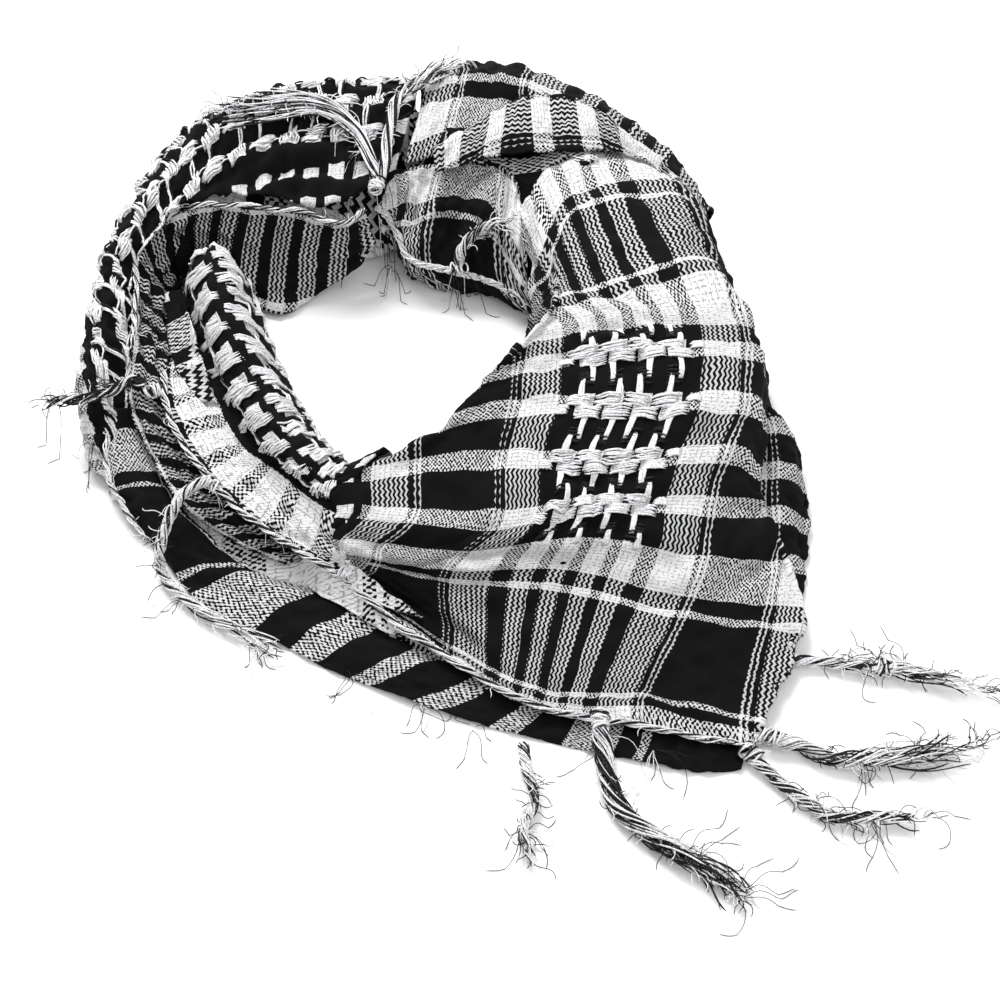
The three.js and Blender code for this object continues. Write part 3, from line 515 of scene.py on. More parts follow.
BACK_WRAP = [
    # foot, bulge, crest, inner
    [(-40, 223, 1.5, 30, 8), (-37, 231, 34, 30, 34), (-34, 211, 50, 30, 58), (-43, 160, 46, 30, 100)],
    [(-22, 229, 1.5, 50, 8), (-20, 237, 34, 50, 34), (-16, 216, 51, 50, 58), (-26, 168, 45, 50, 104)],
    [(4, 230, 1.5, 76, 8), (6, 238, 34, 76, 34), (4, 214, 52, 76, 58), (-2, 174, 44, 76, 100)],
    [(24, 222, 1.5, 98, 8), (26, 229, 33, 98, 34), (20, 207, 52, 96, 58), (14, 176, 43, 94, 92)],
    [(42, 213, 1.5, 118, 8), (46, 217, 31, 118, 34), (38, 198, 49, 114, 56), (34, 174, 42, 112, 84)],
    [(58, 200, 1.5, 138, 8), (63, 204, 28, 138, 34), (56, 186, 44, 134, 56), (52, 166, 38, 130, 78)],
    [(76, 182, 1.5, 162, 8), (82, 184, 24, 162, 32), (74, 170, 36, 156, 52), (64, 154, 33, 152, 72)],
    [(92, 156, 1.5, 190, 8), (98, 156, 19, 190, 28), (92, 148, 26, 184, 40), (80, 140, 24, 176, 56)],
]

CROSSING_END = [
    # top, fold, lip, foot
    [(-50, 157, 44, 20, 300), (-52, 146, 40, 16, 288), (-55, 141, 36, 12, 280), (-54, 140, 24, 4, 268)],
    [(-34, 162, 43, 40, 300), (-42, 150, 38, 30, 284), (-47, 138, 28, 20, 268), (-46, 139, 14, 8, 256)],
    [(-22, 164, 43, 56, 300), (-34, 142, 35, 46, 274), (-43, 127, 22, 36, 254), (-41, 130, 5, 20, 240)],
    [(-10, 166, 42, 70, 300), (-22, 144, 35, 60, 272), (-32, 122, 18, 50, 246), (-30, 126, 2, 34, 232)],
    [(0, 164, 41, 84, 300), (-10, 142, 33, 74, 272), (-19, 120, 16, 64, 246), (-18, 123, 2, 50, 232)],
    [(6, 158, 39, 96, 300), (-1, 136, 31, 86, 274), (-8, 118, 14, 76, 250), (-7, 121, 2, 62, 236)],
    [(10, 150, 34, 108, 300), (6, 130, 28, 98, 278), (3, 112, 13, 88, 256), (4, 115, 2, 76, 244)],
    [(12, 140, 28, 120, 300), (12, 122, 24, 110, 282), (14, 104, 12, 100, 262), (15, 107, 2, 88, 250)],
]

RUFFLE = [
    # back, ridge, front
    [(-30, 167, 50, -30, 100), (-30, 160, 51, -38, 100), (-29, 152, 47, -46, 100)],
    [(-2, 186, 54, -30, 128), (-4, 174, 54, -40, 128), (-6, 161, 49, -52, 128)],
    [(12, 195, 56, -28, 146), (13, 179, 55, -40, 146), (14, 164, 49, -54, 146)],
    [(33, 195, 55, -28, 168), (34, 180, 53, -40, 168), (36, 166, 48, -53, 168)],
    [(49, 184, 53, -30, 186), (50, 175, 52, -40, 186), (52, 166, 48, -50, 186)],
    [(68, 168, 47, -36, 206), (67, 165, 47, -41, 206), (66, 161, 46, -47, 206)],
    [(88, 150, 38, -40, 228), (86, 150, 38, -43, 228), (84, 149, 37, -46, 228)],
]

RIGHT_UNDER = [
    # inner, ridge, lip, foot
    [(102, 36, 15, -40, 190), (112, 36, 20, -50, 190), (119, 36, 13, -62, 190), (118, 36, 2, -72, 190)],
    [(102, 24, 15, -36, 176), (117, 25, 21, -52, 176), (124, 24, 13, -64, 176), (122, 24, 2, -74, 176)],
    [(101, 8, 14, -34, 158), (118, 8, 17, -52, 158), (128, 8, 9, -66, 158), (126, 8, 1.5, -74, 158)],
    [(99, -10, 11, -34, 138), (117, -10, 13, -52, 138), (129, -12, 6, -66, 138), (127, -12, 1.5, -72, 138)],
    [(102, -40, 6, -38, 108), (117, -40, 6, -52, 108), (125, -40, 3, -62, 108), (124, -40, 1.5, -64, 108)],
    [(104, -70, 4, -40, 78), (113, -70, 4, -50, 78), (120, -70, 2.4, -58, 78), (119, -70, 1.5, -60, 78)],
    [(102, -92, 3, -40, 56), (109, -92, 3, -48, 56), (115, -92, 2, -54, 56), (114, -92, 1.5, -56, 56)],
]

UNDER_LAYER = [
    # inner, ridge, lip
    [(-150, 36, 14, -84, 306), (-160, 36, 18, -72, 306), (-167, 33, 18, -62, 306)],
    [(-146, 10, 11, -84, 282), (-156, 8, 14, -72, 282), (-165, 6, 12, -62, 282)],
    [(-130, -14, 8, -86, 252), (-146, -14, 11, -72, 252), (-156, -11, 6, -60, 252)],
    [(-112, -34, 6, -84, 228), (-128, -34, 8, -70, 228), (-140, -32, 2, -58, 228)],
    [(-92, -46, 5, -84, 206), (-106, -52, 7, -70, 206), (-119, -60, 2, -56, 206)],
    [(-66, -58, 4, -82, 184), (-78, -66, 6, -70, 184), (-90, -76, 2, -56, 184)],
    [(-44, -74, 3.5, -82, 166), (-56, -82, 5, -70, 166), (-69, -89, 2, -56, 166)],
    [(-20, -88, 2.5, -82, 143), (-33, -96, 4, -70, 143), (-46, -100, 2, -58, 143)],
    [(6, -100, 2, -80, 121), (-6, -108, 2.6, -70, 121), (-16, -113, 2, -60, 121)],
    [(30, -108, 1.5, -80, 95), (24, -118, 2, -70, 95), (20, -124, 1.5, -60, 95)],
    [(60, -112, 1.5, -80, 62), (58, -124, 2, -70, 62), (54, -133, 1.5, -60, 62)],
    [(84, -114, 1.5, -80, 36), (80, -127, 2, -70, 36), (76, -138, 1.5, -60, 36)],
    [(98, -118, 1.5, -80, 16), (96, -127, 2, -70, 16), (93, -137, 1.5, -60, 16)],
]

# Creases on each stretch, in cloth coordinates: start, end, half width and height in mm.
CREASES = {
    "bib": [((-64, 196), (30, 168), 7, 1.8), ((-70, 150), (0, 118), 6, -1.6),
            ((-96, 112), (-40, 92), 5, 1.8),
            ((26, 196), (56, 130), 5, 1.4), ((-48, 240), (-14, 226), 5, 1.6),
            ((36, 40), (-50, 58), 6, -1.6), ((-100, 80), (-20, 76), 7, 2.2),
            ((-60, 96), (30, 66), 5, -1.8), ((-18, 108), (60, 88), 4, 1.6),
            ((-30, 100), (-12, 122), 4, 3.0), ((-12, 98), (-26, 118), 3, -2.2),
            ((10, 112), (80, 106), 4, -1.2),
            ((-90, 40), (-30, 20), 6, -2.5), ((-70, 62), (0, 50), 5, 1.2), ((48, 20), (56, 120), 5, 1.3),
            ((70, 10), (84, 60), 5, -1.5), ((20, 130), (60, 210), 6, 1.2), ((-40, 150), (10, 190), 6, -1.0),
            ((-10, 225), (-4, 262), 4, 1.4), ((14, 225), (20, 262), 5, -1.2), ((34, 222), (44, 262), 4, 1.2),
            ((60, 90), (86, 112), 4, 2.0), ((66, 78), (92, 98), 3, -1.8), ((-60, 12), (30, 4), 3, 1.0)],
    "left_roll": [((600, 96), (700, 100), 4, -2.2), ((600, 84), (690, 80), 5, 1.6),
                  ((612, 110), (630, 132), 4, 1.4),
                  ((650, 104), (664, 138), 4, -1.4), ((684, 102), (700, 140), 5, 1.2)],
    "inner_band": [((670, 14), (664, 60), 5, 2.2), ((684, 14), (674, 62), 4, -2.0),
                   ((704, 14), (690, 62), 5, 1.8),
                   ((724, 16), (712, 54), 4, -1.6), ((750, 14), (760, 46), 4, 1.6),
                   ((780, 12), (784, 44), 4, -1.4),
                   ((806, 10), (836, 30), 5, 1.4), ((856, 12), (866, 46), 4, -1.4),
                   ((884, 14), (892, 40), 4, 1.6)],
    "outer_roll": [((600, 76), (680, 90), 4, 1.6), ((640, 84), (700, 104), 3, -1.8),
                   ((700, 90), (800, 96), 5, 1.6),
                   ((720, 136), (800, 150), 6, -3.0), ((740, 152), (820, 166), 5, 2.6),
                   ((756, 170), (830, 176), 4, -3.2),
                   ((780, 180), (836, 186), 4, 2.6), ((660, 110), (690, 140), 4, -1.4)],
    "back_wrap": [((30, 60), (120, 62), 5, 1.8), ((50, 76), (130, 72), 4, -2.2),
                  ((60, 90), (110, 88), 4, 2.0),
                  ((90, 40), (180, 36), 5, 1.4), ((110, 58), (170, 50), 4, -1.6)],
    "crossing_end": [((30, 298), (24, 262), 3.5, 3.0), ((44, 298), (34, 258), 3.0, -2.8),
                     ((58, 298), (46, 250), 3.5, 3.0),
                     ((72, 298), (60, 248), 3.0, -3.2), ((84, 298), (72, 250), 3.5, 2.8),
                     ((96, 298), (84, 254), 3.0, -3.0),
                     ((106, 298), (98, 260), 3.5, 2.6), ((40, 270), (100, 276), 4, 1.6)],
    "ruffle": [((-52, 100), (-30, 104), 4, 1.6), ((-54, 122), (-30, 120), 5, -2.0),
               ((-54, 140), (-30, 142), 5, 2.0),
               ((-54, 158), (-30, 156), 5, -2.0), ((-54, 176), (-30, 178), 5, 2.0),
               ((-50, 196), (-32, 194), 5, -1.8)],
    "right_under": [((-60, 180), (-50, 120), 4, 1.4), ((-68, 170), (-60, 110), 3, -1.4)],
    "under_layer": [((-66, 300), (-72, 240), 4, 1.4), ((-76, 230), (-62, 196), 4, -1.2),
                    ((-80, 200), (-60, 190), 5, 1.6),
                    ((-80, 176), (-60, 168), 4, -1.2), ((-80, 150), (-60, 144), 4, 1.2),
                    ((-80, 120), (-60, 112), 4, -0.8)],
}

SHEETS = {
    # rows, columns, size of the crumple and its height (mm)
    "bib": (BIB, 280, 124, 15, 1.25),
    "left_roll": (LEFT_ROLL, 180, 84, 9, 1.0),
    "inner_band": (INNER_BAND, 220, 46, 10, 1.2),
    "outer_roll": (OUTER_ROLL, 240, 80, 11, 1.6),
    "back_wrap": (BACK_WRAP, 120, 70, 12, 1.0),
    "crossing_end": (CROSSING_END, 110, 90, 9, 1.0),
    "ruffle": (RUFFLE, 110, 40, 9, 0.9),
    "right_under": (RIGHT_UNDER, 90, 40, 8, 0.8),
    "under_layer": (UNDER_LAYER, 220, 40, 12, 0.9),
}
FINE_SHARE = 0.35        # height of the fine crumple against the coarse one
FINE_SIZE = 2.7          # and how many times smaller it is
FOLD_CUTS = 3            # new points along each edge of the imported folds
FOLD_ROUNDS = 3          # rounds of smoothing
FOLD_DEPTH = 0.4         # the hidden layers' crumple, mm
FOLD_INWARD = 2.6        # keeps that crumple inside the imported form
SURFACES = {}            # the grid, cloth coordinates and normals of each sheet


def make_sheets(material):
    pieces = {}
    for seed, (name, (table, rows, columns, size, height)) in enumerate(SHEETS.items()):
        values = np.array(table, float)
        values = spline(values, rows)
        values = spline(values.transpose(1, 0, 2), columns).transpose(1, 0, 2)
        grid, weave = values[..., :3].copy(), values[..., 3:].copy()
        normal = normals_of(grid)
        if normal[..., 2].mean() < 0:
            grid, weave = grid[::-1].copy(), weave[::-1].copy()
            normal = normals_of(grid)
        relief = height * smooth_noise(weave, size, 20 + seed)
        relief = relief + FINE_SHARE * height * smooth_noise(weave, size / FINE_SIZE, 50 + seed)
        for start, end, width, rise in CREASES.get(name, ()):
            relief = relief + crease(weave, start, end, width, rise)
        grid = grid + normal * relief[..., None]
        grid[..., 2] = np.maximum(grid[..., 2], CLOTH / 2 + 0.1)
        SURFACES[name] = (grid, weave, normals_of(grid))
        piece = shell_from_grid(name + "_cloth", grid, weave, CLOTH, material)
        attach(piece, "root")
        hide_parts(name)
        pieces[name] = piece
    return pieces


def make_hidden_folds(material):
    """The layers inside the ring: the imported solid's form, softened and crumpled slightly inwards."""
    source = bpy.data.objects["hidden_folds"]
    mesh = source.data.copy()
    work = bmesh.new()
    work.from_mesh(mesh)
    bmesh.ops.remove_doubles(work, verts=work.verts, dist=1e-6)
    bmesh.ops.subdivide_edges(work, edges=work.edges, cuts=FOLD_CUTS, use_grid_fill=True)
    for _ in range(FOLD_ROUNDS):
        bmesh.ops.smooth_vert(work, verts=work.verts, factor=0.5,
                              use_axis_x=True, use_axis_y=True, use_axis_z=True)
    work.normal_update()
    for vert in work.verts:
        x, y, z = vert.co * 1000.0
        crumple = math.sin(x / 4.1 + math.sin(y / 7.3)) + math.sin(y / 3.7 + math.sin(z / 5.9)) - FOLD_INWARD
        vert.co += vert.normal * crumple * FOLD_DEPTH * MM
        vert.co.z = max(vert.co.z, 0.0002)
    work.to_mesh(mesh)
    work.free()
    mesh.polygons.foreach_set("use_smooth", np.ones(len(mesh.polygons), bool))
    piece = bpy.data.objects.new("hidden_layers", mesh)
    bpy.context.scene.collection.objects.link(piece)
    mesh.materials.clear()
    mesh.materials.append(material)
    coords = np.empty(len(mesh.vertices) * 3)
    mesh.vertices.foreach_get("co", coords)
    set_weave(mesh, coords.reshape(-1, 3)[:, :2] * [0.4, 1.0] + [-0.067, 0.03])
    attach(piece, "root")
    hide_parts("hidden_folds")
    return piece


# ---------- yarn: cords, tassels, floats and loose ends ----------
REACH = ((-207, -212, 0.1), (205, 249, 66))     # no yarn goes past these corners, in mm


def tubes(name, lines, radii, colours, materials):
    """Many thin closed tubes as one mesh: each line is an array of points in mm."""
    vertices, faces, which = [], [], []
    start = 0
    for line, radius, colour in zip(lines, radii, colours):
        count = len(line)
        tangent = np.gradient(line, axis=0)
        tangent /= np.linalg.norm(tangent, axis=1, keepdims=True) + 1e-9
        across = np.cross(tangent, [0.13, 0.21, 0.97])
        across /= np.linalg.norm(across, axis=1, keepdims=True) + 1e-9
        upward = np.cross(tangent, across)
        taper = np.ones(count)
        taper[-1] = 0.35
        angles = np.arange(TUBE_SIDES) * 2 * math.pi / TUBE_SIDES
        cosine, sine = np.cos(angles)[None, :, None], np.sin(angles)[None, :, None]
        ring = across[:, None] * cosine + upward[:, None] * sine
        vertices.append((line[:, None] + ring * (radius * taper)[:, None, None]).reshape(-1, 3))
        index = start + np.arange(count * TUBE_SIDES).reshape(count, TUBE_SIDES)
        a, b = index[:-1], index[1:]
        quads = np.stack([a, np.roll(a, -1, 1), np.roll(b, -1, 1), b], 2).reshape(-1, 4)
        faces.extend(quads.tolist())
        faces.append(index[0][::-1].tolist())
        faces.append(index[-1].tolist())
        which.extend([colour] * (len(quads) + 2))
        start += count * TUBE_SIDES
    coords = np.concatenate(vertices)
    coords = np.clip(coords, *REACH)
    return build_mesh(name, coords, faces, materials, which)


def strands(line, count, thick, turns, fray, spread, local, steps=38, white=0.55):
    """Yarns twisted round a centre line that part company over its last stretch."""
    centre = spline(np.array(line, float), steps)
    tangent = np.gradient(centre, axis=0)
    tangent /= np.linalg.norm(tangent, axis=1, keepdims=True)
    across = np.cross(tangent, [0, 0, 1.0])
    across /= np.linalg.norm(across, axis=1, keepdims=True) + 1e-9
    upward = np.cross(across, tangent)
    t = np.linspace(0, 1, steps + 1)
    loose = np.clip((t - (1 - fray)) / fray, 0, 1) ** 1.6
    lines, colours, radii = [], [], []
    for k in range(count):
        angle = 2 * math.pi * k / count + local.uniform(-0.3, 0.3)
        depth = thick * math.sqrt(local.uniform(0.15, 1.0))
        spin = angle + 2 * math.pi * turns * t
        away = local.normal(0, 1, 2) * spread * 0.62
        side = depth * np.cos(spin) * (1 - 0.5 * loose) + away[0] * loose
        rise = depth * np.sin(spin) * (1 - 0.5 * loose) + abs(away[1]) * 0.5 * loose * (1 - loose)
        wave = np.sin(t * local.uniform(10, 24) + local.uniform(0, 6)) * (0.25 + 1.1 * loose)
        stop = steps + 1 - int(local.uniform(0, 0.22) * steps)
        path = centre + across * (side + wave)[:, None] + upward * rise[:, None]
        path[:, 2] = np.maximum(path[:, 2], YARN)
        lines.append(path[:stop])
        colours.append(0 if local.random() < white else 1)
        radii.append(YARN * local.uniform(0.8, 1.25))
    return lines, radii, colours


def make_tassels(materials):
    pieces = {}
    for seed, (name, spec) in enumerate(TASSELS.items()):
        local = np.random.default_rng(100 + seed)
        lines, radii, colours = strands(spec["line"], spec["strands"], spec["thick"], spec["turns"],
                                        spec["fray"], spec["spread"], local)
        for centre, along, size in KNOTS.get(name, ()):
            wound, shades = knot_lines(centre, along, size, local)
            lines += wound
            radii += [YARN * 1.4] * len(wound)
            colours += shades
        places, reach, count = LOOSE[name]
        threads, shades = thread_lines(places, reach, count, local)
        fine, tones = wisps(spec["line"], 0.25, 3 * spec["strands"], 12.0, local)
        lines += threads + fine
        radii += [YARN * 0.5] * len(threads) + [YARN * 0.6] * len(fine)
        colours += shades + tones
        piece = tubes(name + "_yarn", lines, radii, colours, materials)
        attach(piece, "root")
        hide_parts(name)
        pieces[name] = piece
    return pieces


CORDS = {
    # node: sheet, which line of the sheet, from and to along it, and how many yarns
    "edge_cord_left": ("inner_band", "first", 0.33, 0.60, 8),
    "edge_cord_inner": ("inner_band", "first", 0.0, 0.33, 8),
    "edge_cord_neck": ("crossing_end", "lip", 0.0, 1.0, 8),
    "edge_cord_outer": ("under_layer", "last", 0.0, 0.24, 6),
}


def surface_line(name, column, low, high, points=14):
    grid, _, normal = SURFACES[name]
    ordered = grid if SHEET_FORWARD[name] else grid[::-1]
    lifted = normal if SHEET_FORWARD[name] else normal[::-1]
    rows = np.linspace(low, high, points) * (len(grid) - 1)
    j = int(round(column * (grid.shape[1] - 1)))
    picked = ordered[rows.astype(int), j] + lifted[rows.astype(int), j] * LIFT
    picked[:, 2] += LIFT
    return picked


SHEET_FORWARD = {}


def make_cords(materials):
    for name, sheet in SHEETS.items():
        first = np.array(sheet[0][0][0][3:], float)
        SHEET_FORWARD[name] = bool(np.allclose(SURFACES[name][1][0, 0], first, atol=1e-6))
    columns = {"first": 0.0, "last": 1.0, "lip": 0.667}
    pieces = {}
    for seed, (name, (sheet, line, low, high, count)) in enumerate(CORDS.items()):
        path = surface_line(sheet, columns[line], low, high)
        pieces[name] = cord_piece(name, path, count, 300 + seed, materials)
    front = np.concatenate([surface_line("left_roll", 0.0, 0.38, 0.98, 9),
                            surface_line_row("bib", 0.12, 0.98, 12)])
    pieces["edge_cord_front"] = cord_piece("edge_cord_front", front, 10, 310, materials)
    return pieces


def surface_line_row(name, low, high, points):
    """The first section of a sheet, from one side to the other."""
    grid, _, normal = SURFACES[name]
    row = 0 if SHEET_FORWARD[name] else -1
    places = (np.linspace(low, high, points) * (grid.shape[1] - 1)).astype(int)
    picked = grid[row, places] + normal[row, places] * LIFT
    picked[:, 2] += LIFT
    return picked


def cord_piece(name, path, count, seed, materials):
    local = np.random.default_rng(seed)
    length = np.linalg.norm(np.diff(path, axis=0), axis=1).sum()
    lines, radii, colours = strands(path, count, 1.5, length / 17.0, 0.02, 1.0, local,
                                    steps=max(40, int(length / 2)), white=0.74)
    fine, shades = wisps(path, 0.0, int(length / 5), 7.0, local, turn=1.4)
    lines += fine
    radii += [YARN * 0.55] * len(fine)
    colours += shades
    piece = tubes(name + "_yarn", lines, radii, colours, materials)
    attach(piece, "root")
    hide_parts(name)
    return piece


def on_cloth(name, u, v):
    """The point and normal of a sheet at a place in its cloth coordinates."""
    grid, weave, normal = SURFACES[name]
    miss = (weave[..., 0] - u) ** 2 + (weave[..., 1] - v) ** 2
    i, j = np.unravel_index(int(miss.argmin()), miss.shape)
    i, j = min(max(i, 1), grid.shape[0] - 2), min(max(j, 1), grid.shape[1] - 2)
    down = (weave[i + 1, j] - weave[i - 1, j]) / 2
    across = (weave[i, j + 1] - weave[i, j - 1]) / 2
    move = np.linalg.lstsq(np.stack([down, across], 1), np.array([u, v]) - weave[i, j], rcond=None)[0]
    move = np.clip(move, -1.5, 1.5)
    point = grid[i, j] + (grid[i + 1, j] - grid[i - 1, j]) / 2 * move[0]
    point = point + (grid[i, j + 1] - grid[i, j - 1]) / 2 * move[1]
    return point, normal[i, j]


class Floats:
    """Yarns that lie loose on a sheet: the raised blocks of the weave and what links them."""

    def __init__(self, name, seed):
        self.name = name
        self.local = np.random.default_rng(seed)
        self.lines, self.radii, self.colours = [], [], []

    def yarn(self, start, end, arch, colour, points=7):
        t = np.linspace(0, 1, points)
        line = []
        for k in t:
            u = start[0] + (end[0] - start[0]) * k
            v = start[1] + (end[1] - start[1]) * k
            point, normal = on_cloth(self.name, u, v)
            bow = max(math.sin(math.pi * k), 0.0) ** 0.6
            line.append(point + normal * (CLOTH / 2 - 0.1 + (YARN + arch) * bow))
        self.lines.append(np.array(line))
        self.radii.append(YARN * self.local.uniform(1.2, 1.7))
        self.colours.append(colour)

    def block(self, u, v, width, height, count, tab=2.2, turn=False):
        """A pinwheel: yarns side by side, the upper ones set to one side and the lower ones to the other."""
        for k in range(count):
            place = (k / (count - 1) - 0.5) * height + self.local.uniform(-0.25, 0.25)
            shift = tab * (0.5 if k < count / 2 else -0.5) + self.local.uniform(-0.4, 0.4)
            half = width / 2 + self.local.uniform(-0.3, 0.5)
            arch = 0.9 + self.local.uniform(0, 0.5)
            if turn:
                self.yarn((u + place, v + shift - half), (u + place, v + shift + half), arch, 0)
            else:
                self.yarn((u + shift - half, v + place), (u + shift + half, v + place), arch, 0)

    def link(self, start, end, count, side, colours):
        """Yarns side by side from one block to the next."""
        along_v = abs(end[1] - start[1]) > abs(end[0] - start[0])
        for k in range(count):
            off = side + (k - (count - 1) / 2) * 0.8 + self.local.uniform(-0.25, 0.25)
            move = (off, 0) if along_v else (0, off)
            self.yarn((start[0] + move[0], start[1] + move[1]), (end[0] + move[0], end[1] + move[1]),
                      0.35 + self.local.uniform(0, 0.5), colours[k % len(colours)])

    def step(self, u, low, high, side):
        """Two short links between rows, one set to either side of the other, with dark yarns across."""
        middle = (low + high) / 2
        lean = self.local.uniform(-1.2, 1.2)
        for k in range(5):
            off = (k - 2) * 0.52
            self.yarn((u - side + off, low), (u - side + off * 0.5 + lean * 0.6, middle + 0.8), 0.7, 0)
            self.yarn((u + side + off * 0.5 + lean * 0.6, middle - 1.2), (u + side + off, high), 0.7, 0)
        for k in range(6):
            v = middle + (k - 2.5) * 1.1
            self.yarn((u - 3.6, v), (u + 3.6, v + self.local.uniform(-1, 1)), 0.1 if k % 2 else 0.6, 1)

    def finish(self, materials):
        piece = tubes(self.name + "_floats", self.lines, self.radii, self.colours, materials)
        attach(piece, "root")
        return piece


BLOCK_ROWS = [(low + high) / 2 for low, high in WEFT_WHITE[4:8]]
BLOCK_COLUMNS = [(low + high) / 2 for low, high in WARP_WHITE[3:7]]
BLOCK_EDGE = 3.4         # where links leave a block, from its middle


def bib_floats(materials):
    """Sixteen pinwheels on the bib, linked to each other, to the stripes beside them and to those beyond."""
    bib = Floats("bib", 500)
    for r, v in enumerate(BLOCK_ROWS):
        for c, u in enumerate(BLOCK_COLUMNS):
            bib.block(u, v, 10.8, 9.0, count=12, tab=4.6)
            upper = BLOCK_ROWS[r + 1] - 3.6 if r < 3 else WEFT_WHITE[8][0] + 2
            bib.step(u, v + BLOCK_EDGE, upper, 1.8 if (r + c) % 3 else -1.8)
            if r == 0:
                bib.step(u, WEFT_WHITE[3][1] - 2, v - BLOCK_EDGE, -1.6)
            if c < 3:
                bib.link((u + 4.0, v + 1.4), (BLOCK_COLUMNS[c + 1] - 4.4, v + 1.0), 4, 0.0, (WHITE, BLACK))
    for v in BLOCK_ROWS:
        for u, way in ((-30.5, 1), (30.5, -1)):
            for k in range(5):
                reach = 6.0 + bib.local.uniform(-0.6, 0.6)
                place = v - way * (0.6 + k * 0.7)
                bib.yarn((u, place), (u + way * reach, place), 0.8, WHITE)
    return bib.finish(materials)


def roll_floats(materials):
    """Pinwheels turned across the left roll, in three staggered lines along it."""
    roll = Floats("left_roll", 501)
    for k in range(49, 59):
        u = (k + BLOCK_WHITE / 2) * BLOCK_PITCH
        for r, v in enumerate((106.0, 128.5, 151.0)):
            roll.block(u + (1.5 if r % 2 else -1.5), v, 17.0, 6.4, count=10, tab=4.4, turn=True)
            roll.link((u + 2.4, v), (u + 10.0, v), 3, 3.6 if r % 2 else -3.6, (WHITE, WHITE, BLACK))
    return roll.finish(materials)


def outer_floats(materials):
    """Pinwheels on the white stripes of the outer roll, every other one turned."""
    outer = Floats("outer_roll", 502)
    for k in range(46, 68):
        u = (k + BLOCK_WHITE / 2) * BLOCK_PITCH
        for r, v in enumerate(BLOCK_ROWS[:3]):
            odd = (k + r) % 2
            outer.block(u, v, 9.6, 7.4, count=8, turn=not odd)
            if r < 2:
                outer.link((u, v + 3.2), (u, BLOCK_ROWS[r + 1] - BLOCK_EDGE), 3, 1.5 if odd else -1.5,
                           (WHITE, WHITE, BLACK))
            outer.link((u + 3.6, v), (u + 9.0, v), 2, 2.4 if odd else -2.4, (WHITE, BLACK))
    return outer.finish(materials)


def knot_lines(centre, along, size, local):
    """Yarns wound round a cord where a tassel is tied in."""
    along = np.array(along, float) / np.linalg.norm(along)
    side = np.cross(along, [0, 0, 1.0])
    side /= np.linalg.norm(side) + 1e-9
    up = np.cross(side, along)
    lines, colours = [], []
    for k in range(9):
        angle = np.linspace(0, 2 * math.pi, 15)
        radius = size * local.uniform(0.62, 0.95)
        tilt = local.uniform(-0.6, 0.6)
        ring = (np.outer(np.cos(angle), side) + np.outer(np.sin(angle), up) * 0.8) * radius
        ring += np.outer(np.cos(angle + local.uniform(0, 6)) * tilt * radius + (k - 4) * size * 0.2, along)
        lines.append(np.array(centre, float) + ring)
        colours.append(0 if local.random() < 0.75 else 1)
    return lines, colours


def thread_lines(places, reach, count, local, rise=3.0):
    """Single loose threads that curl away from places given with a direction."""
    lines, colours = [], []
    for _ in range(count):
        place, away = places[local.integers(len(places))]
        angle = math.atan2(away[1], away[0]) + local.normal(0, 0.7)
        length = reach * local.uniform(0.4, 1.3)
        bend = local.normal(0, 1.3)
        t = np.linspace(0, 1, 12)
        heading = angle + bend * t + 0.4 * np.sin(t * local.uniform(4, 10))
        step = np.stack([np.cos(heading), np.sin(heading)], 1) * length / 12
        path = np.zeros((12, 3))
        path[:, :2] = np.array(place[:2]) + np.cumsum(step, axis=0) + local.normal(0, 1.0, 2)
        fall = np.clip(t * 1.6, 0, 1)
        path[:, 2] = np.maximum((place[2] + rise * np.sin(t * 3)) * (1 - fall ** 2) + 0.3, 0.3)
        lines.append(path)
        colours.append(0 if local.random() < 0.35 else 1)
    return lines, colours


def wisps(line, first, count, reach, local, turn=0.6):
    """Fine ends that stand off a tassel or a hem all along it."""
    centre = spline(np.array(line, float), 60)
    tangent = np.gradient(centre, axis=0)
    lines, colours = [], []
    for _ in range(count):
        k = local.integers(int(first * 60), 60)
        heading = math.atan2(tangent[k, 1], tangent[k, 0]) + local.normal(0, turn)
        t = np.linspace(0, 1, 9)
        bend = heading + local.normal(0, 1.1) * t
        bend = bend + 0.5 * np.sin(t * local.uniform(3, 9) + local.uniform(0, 6))
        length = reach * local.uniform(0.35, 1.2)
        path = np.zeros((9, 3))
        path[:, 0] = centre[k, 0] + np.cumsum(np.cos(bend)) * length / 9
        path[:, 1] = centre[k, 1] + np.cumsum(np.sin(bend)) * length / 9
        path[:, 2] = centre[k, 2] + np.sin(t * local.uniform(1, 3)) * local.uniform(0.5, 3.0)
        lines.append(path)
        colours.append(0 if local.random() < 0.5 else 1)
    return lines, colours


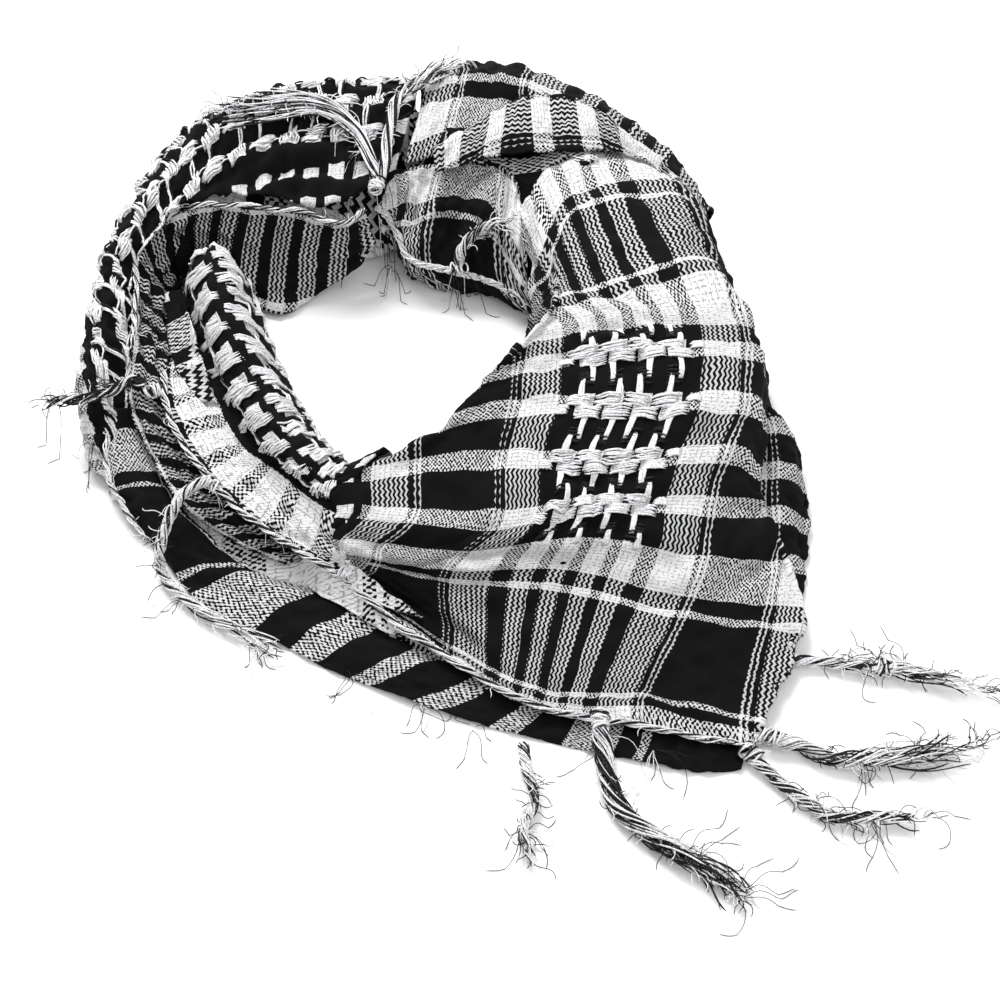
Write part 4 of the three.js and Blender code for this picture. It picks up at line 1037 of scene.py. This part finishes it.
# Knots tied into a tassel: middle, direction and radius.
KNOTS = {
    "tassel_left": [((-147, 36, 29), (1, 0.3, 0), 3.6)],
    "tassel_lower_left": [((-119, -12, 25), (1, -1, 0), 3.6)],
    "tassel_front": [((39, -118, 7), (0, 1, 0), 4.4), ((-62, -52, 16), (1, -0.6, 0), 3.6)],
    "tassel_tip_low": [((97, -132, 5), (1, -1, 0), 4.2)],
    "tassel_tip_high": [((105, -125, 6), (1, -0.3, 0), 4.0)],
    "tassel_right": [((153, -91, 5), (1, 0, 0), 4.0)],
    "tassel_top": [((-55, 143, 49), (0.3, 1, 0.2), 3.8)],
    "tassel_neck": [((-19, 120, 19), (1, 0, 0), 3.8)],
}
LOOSE = {
    # where threads leave, which way, how far and how many
    "tassel_left": ([((-188, 33, 26), (-1, -0.3)), ((-160, 36, 30), (-0.2, 1)), ((-170, 90, 34), (-1, 0)),
                     ((-170, 20, 16), (-1, -1))], 16, 16),
    "tassel_lower_left": ([((-128, -56, 4), (-1, -0.6)), ((-100, -78, 4), (0, -1)),
                           ((-119, -14, 24), (0, -1)),
                           ((-92, -30, 20), (0, -1))], 18, 22),
    "tassel_front_left": ([((-60, -92, 3), (0.2, -1)), ((-30, -108, 3), (0, -1)), ((10, -166, 4), (0.3, -1)),
                           ((-10, -118, 3), (-0.3, -1))], 20, 26),
    "tassel_front": ([((70, -178, 4), (1, -0.5)), ((40, -124, 6), (-1, -1)),
                      ((60, -130, 5), (0.3, -1)), ((88, -194, 4), (1, -0.2))], 24, 34),
    "tassel_tip_low": ([((160, -160, 4), (1, 0.3)), ((120, -150, 4), (0.3, -1)),
                        ((140, -160, 4), (0, -1))], 20, 20),
    "tassel_tip_high": ([((160, -132, 5), (1, 0.6)), ((184, -128, 5), (1, 0)),
                         ((140, -134, 5), (0.3, -1))], 18, 34),
    "tassel_right": ([((160, -90, 5), (0, 1)), ((150, -90, 5), (-0.6, 1)),
                      ((190, -102, 5), (1, -0.2))], 22, 26),
    "fringe_top": ([((-128, 182, 59), (-1, 0)), ((-90, 184, 60), (-1, -0.7)), ((-60, 158, 54), (-1, 0.3)),
                    ((-75, 172, 58), (-1, -0.2))], 30, 46),
    "tassel_top": ([((-40, 200, 57), (0, 1)), ((-17, 222, 54), (1, 0.3)),
                    ((-55, 146, 50), (0.4, -1))], 18, 18),
    "tassel_neck": ([((-19, 120, 20), (0, -1)), ((22, 118, 30), (-1, -0.8)),
                     ((-48, 126, 14), (0, -1))], 16, 24),
}


# ---------- make it ----------
make_stage()
plaid = plaid_material()
white_yarn = yarn_material("yarn_white", (0.86, 0.86, 0.87), (0.58, 0.58, 0.60))
black_yarn = yarn_material("yarn_black", (0.012, 0.012, 0.014), (0.03, 0.03, 0.033))
yarns = [white_yarn, black_yarn]
sheets = make_sheets(plaid)
make_hidden_folds(plaid)
tassels = make_tassels(yarns)
cords = make_cords(yarns)
floats = {"bib": bib_floats(yarns), "left_roll": roll_floats(yarns), "outer_roll": outer_floats(yarns)}
